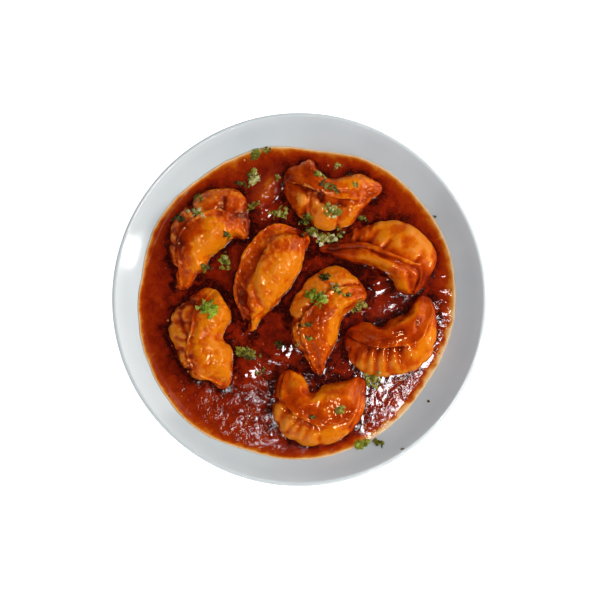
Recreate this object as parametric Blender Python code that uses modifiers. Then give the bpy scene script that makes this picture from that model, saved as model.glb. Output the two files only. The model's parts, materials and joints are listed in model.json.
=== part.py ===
"""Eight pleated momo dumplings in a pool of sauce on a round coupe plate.

Lengths below are in millimetres and are turned to metres where meshes are made. The origin is
the middle of the plate's foot, on the surface that it stands on, and +Z is up.
"""

import math
from dataclasses import dataclass

import bmesh
import bpy
from mathutils import Vector

MM = 0.001

# Plate: a flat well that curves up into an open wall with a rounded lip, on a ring foot.
PLATE_RADIUS = 105.0
PLATE_STEPS = 48
WELL_RADIUS = 54.0
WELL_HEIGHT = 6.0
WALL_THICKNESS = 3.2
WALL_RISE = 18.6
LIP_SLOPE = math.radians(42.5)
WALL_RADIUS = PLATE_RADIUS - WALL_THICKNESS / 2 * (1 + math.sin(LIP_SLOPE))
WALL_POWER = math.tan(LIP_SLOPE) * (WALL_RADIUS - WELL_RADIUS) / WALL_RISE
WALL_STEPS = 8
UNDERSIDE_STEPS = 4
LIP_STEPS = 5
FOOT_RADIUS = 61.0
FOOT_WIDTH = 4.0
FOOT_CHAMFER = 0.8
BASE_HEIGHT = 2.6

# Sauce: a pool whose edge wanders a little round the plate. Each wave has its number of turns
# round the pool, its reach and its direction in degrees. The shares place the loft's rings.
SAUCE_LEVEL = 15.0
SAUCE_RADIUS = 89.3
SAUCE_WAVES = ((1, 2.0, -160), (2, 1.1, 64), (3, 0.65, 62), (4, 0.5, 137), (5, 0.35, -7), (6, 0.3, -78))
SAUCE_EDGE = 0.6
EDGE_CLIMB = 6
UNDERSIDE_SHARES = (0.6, 0.74, 0.88, 1.0)
SURFACE_SHARES = (0.995, 0.9, 0.75, 0.3)

# Clearances between neighbours that touch in the real dish.
SAUCE_GAP = 0.3
MOMO_GAP = 0.45
CUT_GAP = 0.4
WET_MARGIN = 1.5

# Momo lofts: how the rings crowd at the tips, and how the tips round off and lift from the well.
MOMO_SECTIONS = 21
END_INSET = 0.12
TIP_CROWDING = 0.0175
TIP_ROUNDING = 0.05
TIP_LIFT = 4.0
TIP_CURL = 5
FIN_THICKNESS = 2.0
FULL_HEIGHT = 14.0
PLEAT_CLIMB = 0.7


@dataclass(frozen=True)
class Momo:
    """One crescent dumpling, folded along a seam and pleated on one side.

    The spine is an arc from the start tip to the end tip, bowed by bow towards the pleated side,
    and tips are the half widths there. smooth, seam and pleated are reaches from the spine, in
    plan, at seven even stations: of the smooth side's belly, of the seam's free edge and of the
    pleated belly. crest holds heights over the well at the tips and quarters. root_drop and
    edge_drop say how far the fin's root and its free edge lie below the crest, and fin is the
    fin's width.
    """

    name: str
    start: tuple
    end: tuple
    bow: float
    tips: tuple
    smooth: tuple
    seam: tuple
    pleated: tuple
    crest: tuple
    root_drop: float
    edge_drop: float
    fin: float
    pleats: float
    pleat_depth: float
    ripple: float
    ripples: float = 3.0


MOMOS = (
    Momo(
        "momo_upper_left", (-64.5, 4.5), (-28.0, 35.5), 16.0, tips=(4.0, 3.0),
        smooth=(7.5, 12, 12, 11.5, 10.5, 8.5, 3.5),
        seam=(1, 4, 7.5, 11, 12, 11, 8),
        pleated=(3, 6.5, 13, 18.5, 23.5, 24, 21.5),
        crest=(11.5, 18, 22, 21.5, 13),
        root_drop=1.5, edge_drop=2.0, fin=5.0, pleats=4.3, pleat_depth=4.4, ripple=0.7,
    ),
    Momo(
        "momo_top", (47.5, 63.0), (-9.0, 68.5), 0.5, tips=(3.0, 6.5),
        smooth=(6, 8, 5.5, 3.5, 6, 13, 9.5),
        seam=(5, 9.5, 9.5, 8.5, 7, 5, 2),
        pleated=(7, 18.5, 24, 25, 24, 21, 14.5),
        crest=(13, 20.5, 22, 22.5, 15),
        root_drop=1.5, edge_drop=1.0, fin=4.5, pleats=3.6, pleat_depth=4.4, ripple=0.9, ripples=2.5,
    ),
    Momo(
        "momo_middle", (-29.5, -19.5), (5.5, 36.5), 8.0, tips=(3.0, 5.0),
        smooth=(8.5, 12.5, 14.5, 16, 15.5, 13.5, 9),
        seam=(4, 11.5, 14.5, 17, 17, 17.5, 13),
        pleated=(1, 6.5, 9.5, 12, 12, 12.5, 8),
        crest=(11.5, 19, 23, 22.5, 15),
        root_drop=9.0, edge_drop=7.0, fin=7.0, pleats=6.0, pleat_depth=0.8, ripple=0.5, ripples=4.0,
    ),
    Momo(
        "momo_upper_right", (11.0, 28.0), (66.5, 2.5), 10.0, tips=(2.2, 5.0),
        smooth=(5.3, 7.2, 7.6, 7, 6.3, 6.3, 8),
        seam=(0.7, 2.4, 3.2, 3.8, 4.7, 6.5, 10),
        pleated=(2.5, 10, 15, 22.5, 25.5, 25, 21),
        crest=(11.5, 15.5, 21.5, 23, 13),
        root_drop=2.5, edge_drop=0.8, fin=3.6, pleats=4.5, pleat_depth=2.6, ripple=0.5,
    ),
    Momo(
        "momo_right_of_middle", (12.0, -44.0), (37.5, 5.0), 12.0, tips=(2.8, 5.5),
        smooth=(5.2, 8.8, 10.5, 9.4, 7.1, 6.5, 6),
        seam=(3.5, 7.5, 11, 12, 10.5, 8, 5),
        pleated=(4.8, 12, 16, 20.5, 22, 21.5, 18),
        crest=(11, 18.5, 22, 22.5, 15),
        root_drop=1.8, edge_drop=1.5, fin=5.0, pleats=4.0, pleat_depth=3.4, ripple=0.6,
    ),
    Momo(
        "momo_lower_right", (71.5, 1.5), (26.0, -20.0), 12.0, tips=(4.5, 4.5),
        smooth=(6.5, 5.6, 7.5, 8.4, 6.5, 9.2, 9),
        seam=(6, 8.5, 10.5, 8.5, 7, 4.5, 2.5),
        pleated=(9, 15.3, 21.3, 23, 22, 20.2, 16),
        crest=(12, 19.5, 22, 20, 12),
        root_drop=2.2, edge_drop=1.2, fin=4.6, pleats=8.0, pleat_depth=2.2, ripple=0.5,
    ),
    Momo(
        "momo_bottom", (35.0, -44.5), (-8.0, -41.0), 14.0, tips=(4.0, 4.5),
        smooth=(5.7, 7.9, 8.8, 7.6, 2.5, 6.1, 7),
        seam=(4.7, 11.7, 13.9, 15.4, 13.9, 11.6, 7.6),
        pleated=(9, 16.5, 23, 26.5, 26, 22.5, 11.5),
        crest=(12, 20, 21.5, 20.5, 14),
        root_drop=2.0, edge_drop=0.8, fin=4.4, pleats=8.0, pleat_depth=2.0, ripple=0.4,
    ),
    Momo(
        "momo_lower_left", (-40.5, -51.5), (-48.5, 5.5), 9.0, tips=(3.2, 4.5),
        smooth=(9.5, 12.5, 13.5, 10.5, 12.5, 15, 13),
        seam=(4.4, 11, 11.3, 9.4, 7.5, 6, 3.4),
        pleated=(5.2, 12.6, 16, 17.5, 20, 17, 10),
        crest=(12, 20.5, 22, 21.5, 15),
        root_drop=1.6, edge_drop=2.4, fin=4.8, pleats=6.5, pleat_depth=2.6, ripple=0.5,
    ),
)


def remove_all_objects():
    """Empties the scene."""
    for obj in list(bpy.data.objects):
        bpy.data.objects.remove(obj, do_unlink=True)


def new_collection(name):
    """Adds a collection to the scene."""
    collection = bpy.data.collections.new(name)
    bpy.context.scene.collection.children.link(collection)
    return collection


def material(name, colour, roughness, coat=0.0):
    """Makes a Principled material with linear RGB colour; nothing in this dish is metal."""
    made = bpy.data.materials.new(name)
    made.use_nodes = True
    shader = made.node_tree.nodes["Principled BSDF"]
    shader.inputs["Base Color"].default_value = (*colour, 1.0)
    shader.inputs["Roughness"].default_value = roughness
    shader.inputs["Metallic"].default_value = 0.0
    shader.inputs["Coat Weight"].default_value = coat
    return made


def glazed_stoneware():
    return material("white_glazed_stoneware", (0.78, 0.80, 0.82), 0.18)


def chilli_sauce():
    return material("chilli_tomato_sauce", (0.25, 0.018, 0.003), 0.15, coat=0.5)


def steamed_wrapper():
    return material("sauced_wheat_wrapper", (0.80, 0.20, 0.006), 0.3, coat=0.5)


def smooth_through(values, t):
    """Reads a Catmull-Rom curve through evenly spaced values, for t from 0 to 1."""
    place = min(max(t, 0.0), 1.0) * (len(values) - 1)
    i = min(int(place), len(values) - 2)
    u = place - i
    a, b, c, d = (values[min(max(k, 0), len(values) - 1)] for k in range(i - 1, i + 3))
    bend = 2 * a - 5 * b + 4 * c - d
    twist = 3 * b - a - 3 * c + d
    return 0.5 * (2 * b + (c - a) * u + bend * u**2 + twist * u**3)


def wall_height(radius):
    """Height of the plate's upper face at a radius."""
    climb = max(0.0, radius - WELL_RADIUS) / (WALL_RADIUS - WELL_RADIUS)
    return WELL_HEIGHT + WALL_RISE * climb**WALL_POWER


def wall_slope(radius):
    """Rise over run of the plate's upper face at a radius."""
    climb = max(0.0, radius - WELL_RADIUS) / (WALL_RADIUS - WELL_RADIUS)
    return math.tan(LIP_SLOPE) * climb ** (WALL_POWER - 1)


def plate_height(x, y):
    """Upper bound of the faceted plate's upper face over a point in plan."""
    return wall_height(math.hypot(x, y) / math.cos(math.pi / PLATE_STEPS)) + 0.05


def plate_profile():
    """Half section of the plate, from the well's middle over the lip and back under the foot."""
    top = [(0.0, WELL_HEIGHT)]
    for i in range(WALL_STEPS + 1):
        radius = WELL_RADIUS + (WALL_RADIUS - WELL_RADIUS) * i / WALL_STEPS
        top.append((radius, wall_height(radius)))
    half = WALL_THICKNESS / 2
    lip_radius = WALL_RADIUS + half * math.sin(LIP_SLOPE)
    lip_height = WELL_HEIGHT + WALL_RISE - half * math.cos(LIP_SLOPE)
    lip = []
    for i in range(1, LIP_STEPS):
        turn = math.pi / 2 + LIP_SLOPE - math.pi * i / LIP_STEPS
        lip.append((lip_radius + half * math.cos(turn), lip_height + half * math.sin(turn)))
    under = []
    for i in range(UNDERSIDE_STEPS + 1):
        radius = WALL_RADIUS - (WALL_RADIUS - FOOT_RADIUS) * i / UNDERSIDE_STEPS
        tilt = math.atan(wall_slope(radius))
        height = wall_height(radius) - WALL_THICKNESS * math.cos(tilt)
        under.append((radius + WALL_THICKNESS * math.sin(tilt), height))
    inner_foot = FOOT_RADIUS - FOOT_WIDTH
    foot = [
        (FOOT_RADIUS, FOOT_CHAMFER),
        (FOOT_RADIUS - FOOT_CHAMFER, 0.0),
        (inner_foot + FOOT_CHAMFER, 0.0),
        (inner_foot, FOOT_CHAMFER),
        (inner_foot, BASE_HEIGHT),
        (0.0, BASE_HEIGHT),
    ]
    return top + lip + under + foot


def build_plate(collection):
    """Turns the plate's profile about the vertical axis."""
    mesh = bpy.data.meshes.new("plate")
    points = [(r * MM, 0.0, z * MM) for r, z in plate_profile()]
    mesh.from_pydata(points, [(i, i + 1) for i in range(len(points) - 1)], [])
    plate = bpy.data.objects.new("plate", mesh)
    collection.objects.link(plate)
    screw = plate.modifiers.new("turn", "SCREW")
    screw.steps = PLATE_STEPS
    screw.render_steps = PLATE_STEPS
    screw.use_merge_vertices = True
    screw.merge_threshold = 0.00001
    screw.use_smooth_shade = True
    mesh.materials.append(glazed_stoneware())
    return plate


def loft(name, rings, collection, finish):
    """Skins a closed body over rings of equally many points and closes both ends."""
    mesh = bpy.data.meshes.new(name)
    body = bmesh.new()
    made = [[body.verts.new(Vector(point) * MM) for point in ring] for ring in rings]
    for near, far in zip(made, made[1:]):
        for i in range(len(near)):
            j = (i + 1) % len(near)
            body.faces.new((near[i], near[j], far[j], far[i]))
    body.faces.new(made[0])
    body.faces.new(made[-1])
    bmesh.ops.recalc_face_normals(body, faces=body.faces)
    bmesh.ops.triangulate(body, faces=body.faces)
    body.to_mesh(mesh)
    body.free()
    mesh.materials.append(finish)
    mesh.shade_smooth()
    mesh.set_sharp_from_angle(angle=math.radians(60))
    obj = bpy.data.objects.new(name, mesh)
    collection.objects.link(obj)
    return obj


def spine(momo, t):
    """Point and outward normal, in plan, of the arc between a momo's tips."""
    start = Vector(momo.start)
    chord = Vector(momo.end) - start
    half = chord.length / 2
    ahead = chord.normalized()
    side = Vector((-ahead.y, ahead.x))
    radius = (half**2 + momo.bow**2) / (2 * momo.bow)
    centre = start + chord / 2 + side * (momo.bow - radius)
    angle = (2 * t - 1) * math.asin(half / radius)
    normal = side * math.cos(angle) + ahead * math.sin(angle)
    return centre + normal * radius, normal


def fold(t, count):
    """Pleat profile along the seam, 0 to 1: a slow climb and a quick fall."""
    phase = (t * count) % 1.0
    slant = phase / PLEAT_CLIMB if phase < PLEAT_CLIMB else (1.0 - phase) / (1.0 - PLEAT_CLIMB)
    return 0.5 - 0.5 * math.cos(math.pi * slant)


def section(momo, t):
    """Closed cross-section at t, as (reach, height) pairs over the smooth belly, the fin and the pleats."""
    first, last = momo.tips
    inner = -smooth_through((first, *momo.smooth, last), t)
    seam = smooth_through((0.2 * first, *momo.seam, 0.2 * last), t)
    outer = smooth_through((first, *momo.pleated, last), t)
    seam += momo.ripple * math.sin(2 * math.pi * momo.ripples * t)
    crest = smooth_through(momo.crest, t)
    foot = TIP_LIFT * abs(2 * t - 1) ** TIP_CURL
    size = min(1.0, (crest - foot) / FULL_HEIGHT)
    width = seam - inner
    fin = min(momo.fin, 0.45 * width)
    belly = width - fin
    edge = crest - momo.edge_drop * size
    under = min(0.75 * (crest - foot), edge - foot - 1.7 * FIN_THICKNESS * size)
    swell = momo.pleat_depth * size * (fold(t, momo.pleats) - 0.5)
    band = outer - seam

    def level(share):
        return foot + share * (crest - foot)

    smooth_belly = [
        (inner + 0.20 * belly, foot),
        (inner, level(0.38)),
        (inner + 0.11 * belly, level(0.70)),
        (inner + 0.34 * belly, level(0.94)),
        (inner + 0.62 * belly, crest),
        (inner + 0.87 * belly, crest - 0.25 * momo.root_drop * size),
    ]
    free_fin = [
        (seam - fin, crest - momo.root_drop * size),
        (seam - 0.25 * fin, edge + 0.1 * FIN_THICKNESS * size),
        (seam, edge - 0.4 * FIN_THICKNESS * size),
        (seam - 0.35 * fin, edge - FIN_THICKNESS * size),
    ]
    pleated_belly = [
        (seam - 0.9 * fin + 0.3 * swell, edge - 1.5 * FIN_THICKNESS * size),
        (seam + 0.35 * band + swell, foot + under + 0.4 * swell),
        (outer - 0.06 * band + swell, foot + 0.75 * under),
        (outer + 0.8 * swell, foot + 0.42 * under),
        (outer - 0.16 * (outer - inner), foot),
    ]
    return smooth_belly + free_fin + pleated_belly


def ring_place(index):
    """Place of a loft ring along the seam, 0 to 1, with rings a little closer near the tips."""
    share = (index + END_INSET) / (MOMO_SECTIONS - 1 + 2 * END_INSET)
    return share - TIP_CROWDING * math.sin(4 * math.pi * share)


def momo_rings(momo):
    """Rings of a momo from tip to tip, kept clear of the plate."""
    rings = []
    for i in range(MOMO_SECTIONS):
        t = ring_place(i)
        tip = min(t, 1 - t) / TIP_ROUNDING
        scale = math.sqrt(1 - (1 - tip) ** 2) if tip < 1 else 1.0
        profile = section(momo, t)
        middle = Vector((0.0, 0.0))
        for pair in profile:
            middle += Vector(pair) / len(profile)
        place, normal = spine(momo, t)
        ring = []
        for pair in profile:
            reach, height = middle + (Vector(pair) - middle) * scale
            x, y = place + normal * reach
            z = max(WELL_HEIGHT + height, plate_height(x, y) + MOMO_GAP)
            ring.append((x, y, z))
        rings.append(ring)
    return rings


def build_momo(momo, collection, finish):
    """Lofts one dumpling."""
    return loft(momo.name, momo_rings(momo), collection, finish)


def below(ring, top):
    """Plan points of a ring's outline up to a height, with the points where it crosses it."""
    kept = []
    for near, far in zip(ring, ring[1:] + ring[:1]):
        if near[2] <= top:
            kept.append(Vector(near[:2]))
        if (near[2] - top) * (far[2] - top) < 0:
            share = (top - near[2]) / (far[2] - near[2])
            kept.append(Vector(near[:2]).lerp(Vector(far[:2]), share))
    return kept


def waterline(momo):
    """Plan outline of the part of a momo that stands in the sauce, inner side then outer side."""
    inner = []
    outer = []
    for index, ring in enumerate(momo_rings(momo)):
        place, normal = spine(momo, ring_place(index))
        wet = sorted(below(ring, SAUCE_LEVEL + WET_MARGIN), key=lambda point: (point - place).dot(normal))
        inner.append(wet[0])
        outer.append(wet[-1])
    return inner + outer[::-1]


def build_momo_cutter(momo, collection, finish):
    """Extrudes a dumpling's waterline, slightly swollen, to part the sauce round it."""
    outline = waterline(momo)
    floor = [(x, y, 0.0) for x, y in outline]
    roof = [(x, y, 2 * SAUCE_LEVEL) for x, y in outline]
    cutter = loft(f"cut_{momo.name}", [floor, roof], collection, finish)
    shape = bmesh.new()
    shape.from_mesh(cutter.data)
    shape.normal_update()
    for vertex in shape.verts:
        sideways = Vector((vertex.normal.x, vertex.normal.y, 0.0)).normalized()
        vertex.co += sideways * CUT_GAP * MM
    shape.to_mesh(cutter.data)
    shape.free()
    cutter.hide_render = True
    cutter.display_type = "WIRE"
    return cutter


def sauce_radius(angle):
    """Radius of the sauce's edge at an angle about the plate's axis."""
    radius = SAUCE_RADIUS
    for turns, reach, phase in SAUCE_WAVES:
        radius += reach * math.cos(turns * angle - math.radians(phase))
    return radius


def sauce_rings():
    """Rings from the middle of the sauce's underside out to its edge and back over its top."""
    underside = [(share, False) for share in UNDERSIDE_SHARES]
    surface = [(share, True) for share in SURFACE_SHARES]
    rings = []
    for share, is_surface in underside + surface:
        ring = []
        for step in range(PLATE_STEPS):
            angle = 2 * math.pi * step / PLATE_STEPS
            edge = sauce_radius(angle)
            x = share * edge * math.cos(angle)
            y = share * edge * math.sin(angle)
            z = plate_height(x, y) + SAUCE_GAP
            if is_surface:
                rise = wall_height(edge) + SAUCE_GAP + SAUCE_EDGE - SAUCE_LEVEL
                z = SAUCE_LEVEL + rise * share**EDGE_CLIMB
            ring.append((x, y, z))
        rings.append(ring)
    return rings


def build_sauce(collection, cutters):
    """Pours the sauce and cuts it round the dumplings that stand in it."""
    sauce = loft("sauce", sauce_rings(), collection, chilli_sauce())
    cut = sauce.modifiers.new("part round momos", "BOOLEAN")
    cut.operation = "DIFFERENCE"
    cut.solver = "EXACT"
    cut.operand_type = "COLLECTION"
    cut.collection = cutters
    return sauce


def main():
    remove_all_objects()
    dish = new_collection("momo_dumplings")
    cutters = new_collection("cutters")
    wrapper = steamed_wrapper()
    build_plate(dish)
    for momo in MOMOS:
        build_momo(momo, dish, wrapper)
        build_momo_cutter(momo, cutters, wrapper)
    build_sauce(dish, cutters)


main()
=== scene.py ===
"""Dresses a packed plate of momo dumplings: wrappers, chilli sauce, herbs, plate and studio.

Lengths in the classes are in millimetres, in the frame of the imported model: the origin is the
middle of the plate's foot and +Z is up. They are turned to metres where meshes are made.
"""

import json
import logging
import math
from collections.abc import Iterable
from dataclasses import dataclass
from enum import Enum

import bmesh
import bpy
import numpy as np
from mathutils import Matrix, Vector
from mathutils.bvhtree import BVHTree
from mathutils.kdtree import KDTree

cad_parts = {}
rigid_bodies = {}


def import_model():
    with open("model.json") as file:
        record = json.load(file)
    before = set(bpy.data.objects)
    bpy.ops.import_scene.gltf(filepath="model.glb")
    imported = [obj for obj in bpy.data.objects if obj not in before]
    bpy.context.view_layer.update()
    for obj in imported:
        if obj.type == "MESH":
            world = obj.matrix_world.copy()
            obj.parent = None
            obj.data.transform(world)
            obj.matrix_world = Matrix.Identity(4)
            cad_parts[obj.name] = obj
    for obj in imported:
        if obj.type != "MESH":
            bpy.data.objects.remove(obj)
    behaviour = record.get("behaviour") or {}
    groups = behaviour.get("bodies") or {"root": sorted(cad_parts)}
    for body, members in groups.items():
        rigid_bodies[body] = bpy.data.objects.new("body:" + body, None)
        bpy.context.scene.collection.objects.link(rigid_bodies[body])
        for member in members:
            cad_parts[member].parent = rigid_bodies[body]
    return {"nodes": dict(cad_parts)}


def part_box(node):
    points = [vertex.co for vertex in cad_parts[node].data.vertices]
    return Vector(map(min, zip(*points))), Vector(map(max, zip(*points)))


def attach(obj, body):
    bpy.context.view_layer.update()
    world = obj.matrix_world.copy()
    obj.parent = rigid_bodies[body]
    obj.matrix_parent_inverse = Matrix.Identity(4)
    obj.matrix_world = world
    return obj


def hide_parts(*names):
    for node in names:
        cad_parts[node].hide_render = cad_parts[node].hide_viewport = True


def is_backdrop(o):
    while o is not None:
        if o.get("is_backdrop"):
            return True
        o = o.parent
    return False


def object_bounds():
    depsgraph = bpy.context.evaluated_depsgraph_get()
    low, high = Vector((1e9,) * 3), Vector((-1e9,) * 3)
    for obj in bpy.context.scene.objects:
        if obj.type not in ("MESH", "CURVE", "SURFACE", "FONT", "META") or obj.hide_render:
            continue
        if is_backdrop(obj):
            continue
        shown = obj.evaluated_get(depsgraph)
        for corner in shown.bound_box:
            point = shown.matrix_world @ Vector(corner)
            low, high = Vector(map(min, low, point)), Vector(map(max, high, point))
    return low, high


LOG = logging.getLogger("momo_plate")
MM = 0.001
BODY = "root"
RAY_HEIGHT = 0.05  # metres, above everything on the plate
DOWN = Vector((0, 0, -1))
LINE_STEPS = 6  # between two points of a smoothed line
FULL_TURN = 6.283
STORED = "GeometryNodeInputNamedAttribute"
HASH_AXES = (73856093, 19349663, 83492791)
HASH_SEED = 2654435761
HASH_MIX = 1274126177
HASH_TOP = 0xFFFF

Array = np.ndarray
Line = tuple[tuple[float, float], ...]


# ---------------------------------------------------------------- numbers and noise


def linear(code: str) -> tuple[float, float, float, float]:
    """Turns an sRGB hex colour to linear RGBA.

    Args:
        code: Six hex digits, with or without a leading hash.

    Returns:
        Linear red, green and blue, and an alpha of 1.
    """
    digits = code.lstrip("#")
    shares = [int(digits[i : i + 2], 16) / 255 for i in (0, 2, 4)]
    red, green, blue = (s / 12.92 if s <= 0.04045 else ((s + 0.055) / 1.055) ** 2.4 for s in shares)
    return red, green, blue, 1.0


def ease(value: Array, low: float, high: float) -> Array:
    """Climbs smoothly from 0 at low to 1 at high, or falls if low is above high."""
    share = np.clip((np.asarray(value, float) - low) / (high - low), 0.0, 1.0)
    return share * share * (3 - 2 * share)


def curve_between(before: Array, near: Array, far: Array, after: Array, share: Array) -> Array:
    """Reads the Catmull-Rom curve from near to far, at a share of the way from 0 to 1.

    Args:
        before: Values before near.
        near: Values where the stretch starts.
        far: Values where it ends.
        after: Values after far.
        share: How far along the stretch to read, from 0 to 1.

    Returns:
        The curve's values.
    """
    bend = 2 * before - 5 * near + 4 * far - after
    twist = 3 * near - before - 3 * far + after
    return 0.5 * (2 * near + (far - before) * share + bend * share**2 + twist * share**3)


def smooth_through(values: Iterable[float], places: Array) -> Array:
    """Reads a Catmull-Rom curve through evenly spaced values.

    Args:
        values: The values that the curve passes through.
        places: Where to read it, from 0 at the first value to 1 at the last.

    Returns:
        The curve's value at each place.
    """
    known = np.array(list(values), float)
    reach = np.clip(places, 0.0, 1.0) * (len(known) - 1)
    first = np.minimum(reach.astype(int), len(known) - 2)
    four = (known[np.clip(first + step, 0, len(known) - 1)] for step in (-1, 0, 1, 2))
    return curve_between(*four, reach - first)


def lattice_value(cells: Array, seed: int) -> Array:
    """Gives each whole-numbered lattice point a repeatable value from -1 to 1.

    Args:
        cells: Whole numbers, with three in the last axis.
        seed: Picks one pattern among many.

    Returns:
        One value for each lattice point.
    """
    mixed = cells.astype(np.int64) @ np.array(HASH_AXES) + seed * HASH_SEED
    mixed = (mixed ^ (mixed >> 13)) * HASH_MIX
    mixed = (mixed ^ (mixed >> 16)) & HASH_TOP
    return mixed / (HASH_TOP / 2) - 1.0


def grain(points: Array, size: float, seed: int, octaves: int = 1) -> Array:
    """Makes smooth noise whose lumps are about as wide as size.

    Args:
        points: Places in millimetres, with three numbers in the last axis.
        size: Width of the largest lumps in millimetres.
        seed: Picks one pattern among many.
        octaves: How many layers are added, each half as wide and half as strong.

    Returns:
        Values from about -1 to 1, one for each place.
    """
    total = np.zeros(points.shape[:-1])
    for octave in range(octaves):
        scaled = points / (size * 0.6 / 2**octave)
        cell = np.floor(scaled).astype(np.int64)
        share = scaled - cell
        share = share * share * (3 - 2 * share)
        for corner in np.ndindex(2, 2, 2):
            offset = np.array(corner)
            weight = np.prod(np.where(offset, share, 1 - share), axis=-1)
            total += weight * lattice_value(cell + offset, seed + octave) / 2**octave
    return total


def soften(grid: Array, rounds: int) -> Array:
    """Blurs a grid of closed rings, along and round it.

    Args:
        grid: Values on a grid whose first axis runs along the piece and second round it.
        rounds: How often the light 1-2-1 blur is repeated.

    Returns:
        The blurred grid.
    """
    out = grid.astype(float)
    for _ in range(rounds):
        padded = np.concatenate([out[:1], out, out[-1:]])
        out = 0.25 * padded[:-2] + 0.5 * padded[1:-1] + 0.25 * padded[2:]
        out = 0.25 * np.roll(out, 1, 1) + 0.5 * out + 0.25 * np.roll(out, -1, 1)
    return out


def ring_normals(grid: Array) -> Array:
    """Finds the outward normals of a closed grid of rings.

    Args:
        grid: Points ring by ring, closed round the second axis.

    Returns:
        A unit normal at each point.
    """
    along = np.gradient(grid, axis=0)
    around = np.roll(grid, -1, 1) - np.roll(grid, 1, 1)
    normal = np.cross(along, around)
    normal /= np.maximum(np.linalg.norm(normal, axis=2, keepdims=True), 1e-9)
    outward = np.sum(normal * (grid - grid.mean(axis=1, keepdims=True)))
    return normal if outward > 0 else -normal


def distance_to_line(plan: Array, line: Line) -> Array:
    """Measures how far points in plan lie from a line through a few points.

    Args:
        plan: Points in plan.
        line: The points that the line runs through.

    Returns:
        The distance of each point in millimetres.
    """
    best = np.full(plan.shape[:-1], np.inf)
    corners = smooth_line(line)
    for near, far in zip(corners, corners[1:]):
        run = far - near
        share = np.clip((plan - near) @ run / max(run @ run, 1e-9), 0, 1)
        gap = np.linalg.norm(plan - near - share[..., None] * run, axis=-1)
        best = np.minimum(best, gap)
    return best


def smooth_line(line: Line) -> Array:
    """Rounds a line through a few points."""
    places = np.linspace(0, 1, (len(line) - 1) * LINE_STEPS + 1)
    return np.stack([smooth_through([point[axis] for point in line], places) for axis in (0, 1)], 1)


@dataclass(frozen=True)
class Patch:
    """A soft-edged oval spot on the dish, seen from above: its place, half-lengths and strength."""

    x: float
    y: float
    reach: tuple[float, float]
    strength: float
    turn: float = 0.0

    def over(self, plan: Array) -> Array:
        """The spot's strength at each point in plan, which fades to nothing round it.

        Args:
            plan: Points in plan.

        Returns:
            The strength at each point.
        """
        away = plan - np.array([self.x, self.y])
        ahead = math.radians(self.turn)
        along = away[..., 0] * math.cos(ahead) + away[..., 1] * math.sin(ahead)
        across = away[..., 1] * math.cos(ahead) - away[..., 0] * math.sin(ahead)
        return self.strength * np.exp(-(np.hypot(along / self.reach[0], across / self.reach[1]) ** 3))


def painted(patches: Iterable[Patch], plan: Array) -> Array:
    """Adds up the strengths of many patches at each point in plan."""
    return sum((patch.over(plan) for patch in patches), np.zeros(plan.shape[:-1]))


# ---------------------------------------------------------------- meshes


def make_object(name: str, points: Array, faces: list, finish: bpy.types.Material) -> bpy.types.Object:
    """Makes a smooth mesh object at the origin.

    Args:
        name: Name of the object and its mesh.
        points: Vertices in millimetres.
        faces: Vertex numbers of each face, turning anticlockwise seen from outside.
        finish: Its material.

    Returns:
        The new object.
    """
    mesh = bpy.data.meshes.new(name)
    mesh.from_pydata((points.reshape(-1, 3) * MM).tolist(), [], faces)
    mesh.materials.append(finish)
    mesh.shade_smooth()
    obj = bpy.data.objects.new(name, mesh)
    bpy.context.scene.collection.objects.link(obj)
    return obj


def face_outwards(obj: bpy.types.Object) -> None:
    """Turns the faces of a closed mesh to point outwards.

    Args:
        obj: The mesh object to put right.
    """
    shape = bmesh.new()
    shape.from_mesh(obj.data)
    bmesh.ops.recalc_face_normals(shape, faces=shape.faces)
    if shape.calc_volume(signed=True) < 0:
        bmesh.ops.reverse_faces(shape, faces=shape.faces)
    shape.to_mesh(obj.data)
    shape.free()


def ring_faces(rings: int, sides: int) -> list[tuple[int, ...]]:
    """Lists the faces that skin a stack of closed rings, with both ends capped.

    Args:
        rings: How many rings there are.
        sides: How many points each ring has.

    Returns:
        Vertex numbers of each face.
    """
    faces = []
    for ring in range(rings - 1):
        for side in range(sides):
            beside = (side + 1) % sides
            low, high = ring * sides, (ring + 1) * sides
            faces.append((low + side, low + beside, high + beside, high + side))
    faces.append(tuple(range(sides))[::-1])
    faces.append(tuple(range((rings - 1) * sides, rings * sides)))
    return faces


def add_attribute(obj: bpy.types.Object, name: str, values: Array) -> None:
    """Stores one number for each vertex, for a material or a node tree to read."""
    attribute = obj.data.attributes.new(name, "FLOAT", "POINT")
    attribute.data.foreach_set("value", np.ascontiguousarray(values, np.float32).ravel())


def wear(obj: bpy.types.Object, nodes: Iterable[str] = ()) -> None:
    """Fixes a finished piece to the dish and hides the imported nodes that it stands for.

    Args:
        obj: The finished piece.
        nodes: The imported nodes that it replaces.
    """
    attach(obj, BODY)
    for node in nodes:
        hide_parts(node)
    LOG.info("%s: %d faces", obj.name, len(obj.data.polygons))


def box_mm(node: str) -> tuple[Array, Array]:
    """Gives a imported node's lowest and highest corner in millimetres."""
    low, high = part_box(node)
    return np.array(low) / MM, np.array(high) / MM


# ---------------------------------------------------------------- finishes


def feed(node: bpy.types.Node, inputs: dict) -> None:
    """Fills a node's inputs.

    Args:
        node: The node.
        inputs: For each input's name or number a value, a socket, or a node whose first output is meant.
    """
    for key, value in inputs.items():
        if isinstance(value, bpy.types.Node):
            value = next(socket for socket in value.outputs if socket.enabled)
        if isinstance(value, bpy.types.NodeSocket):
            node.id_data.links.new(value, node.inputs[key])
        else:
            node.inputs[key].default_value = value


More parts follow.
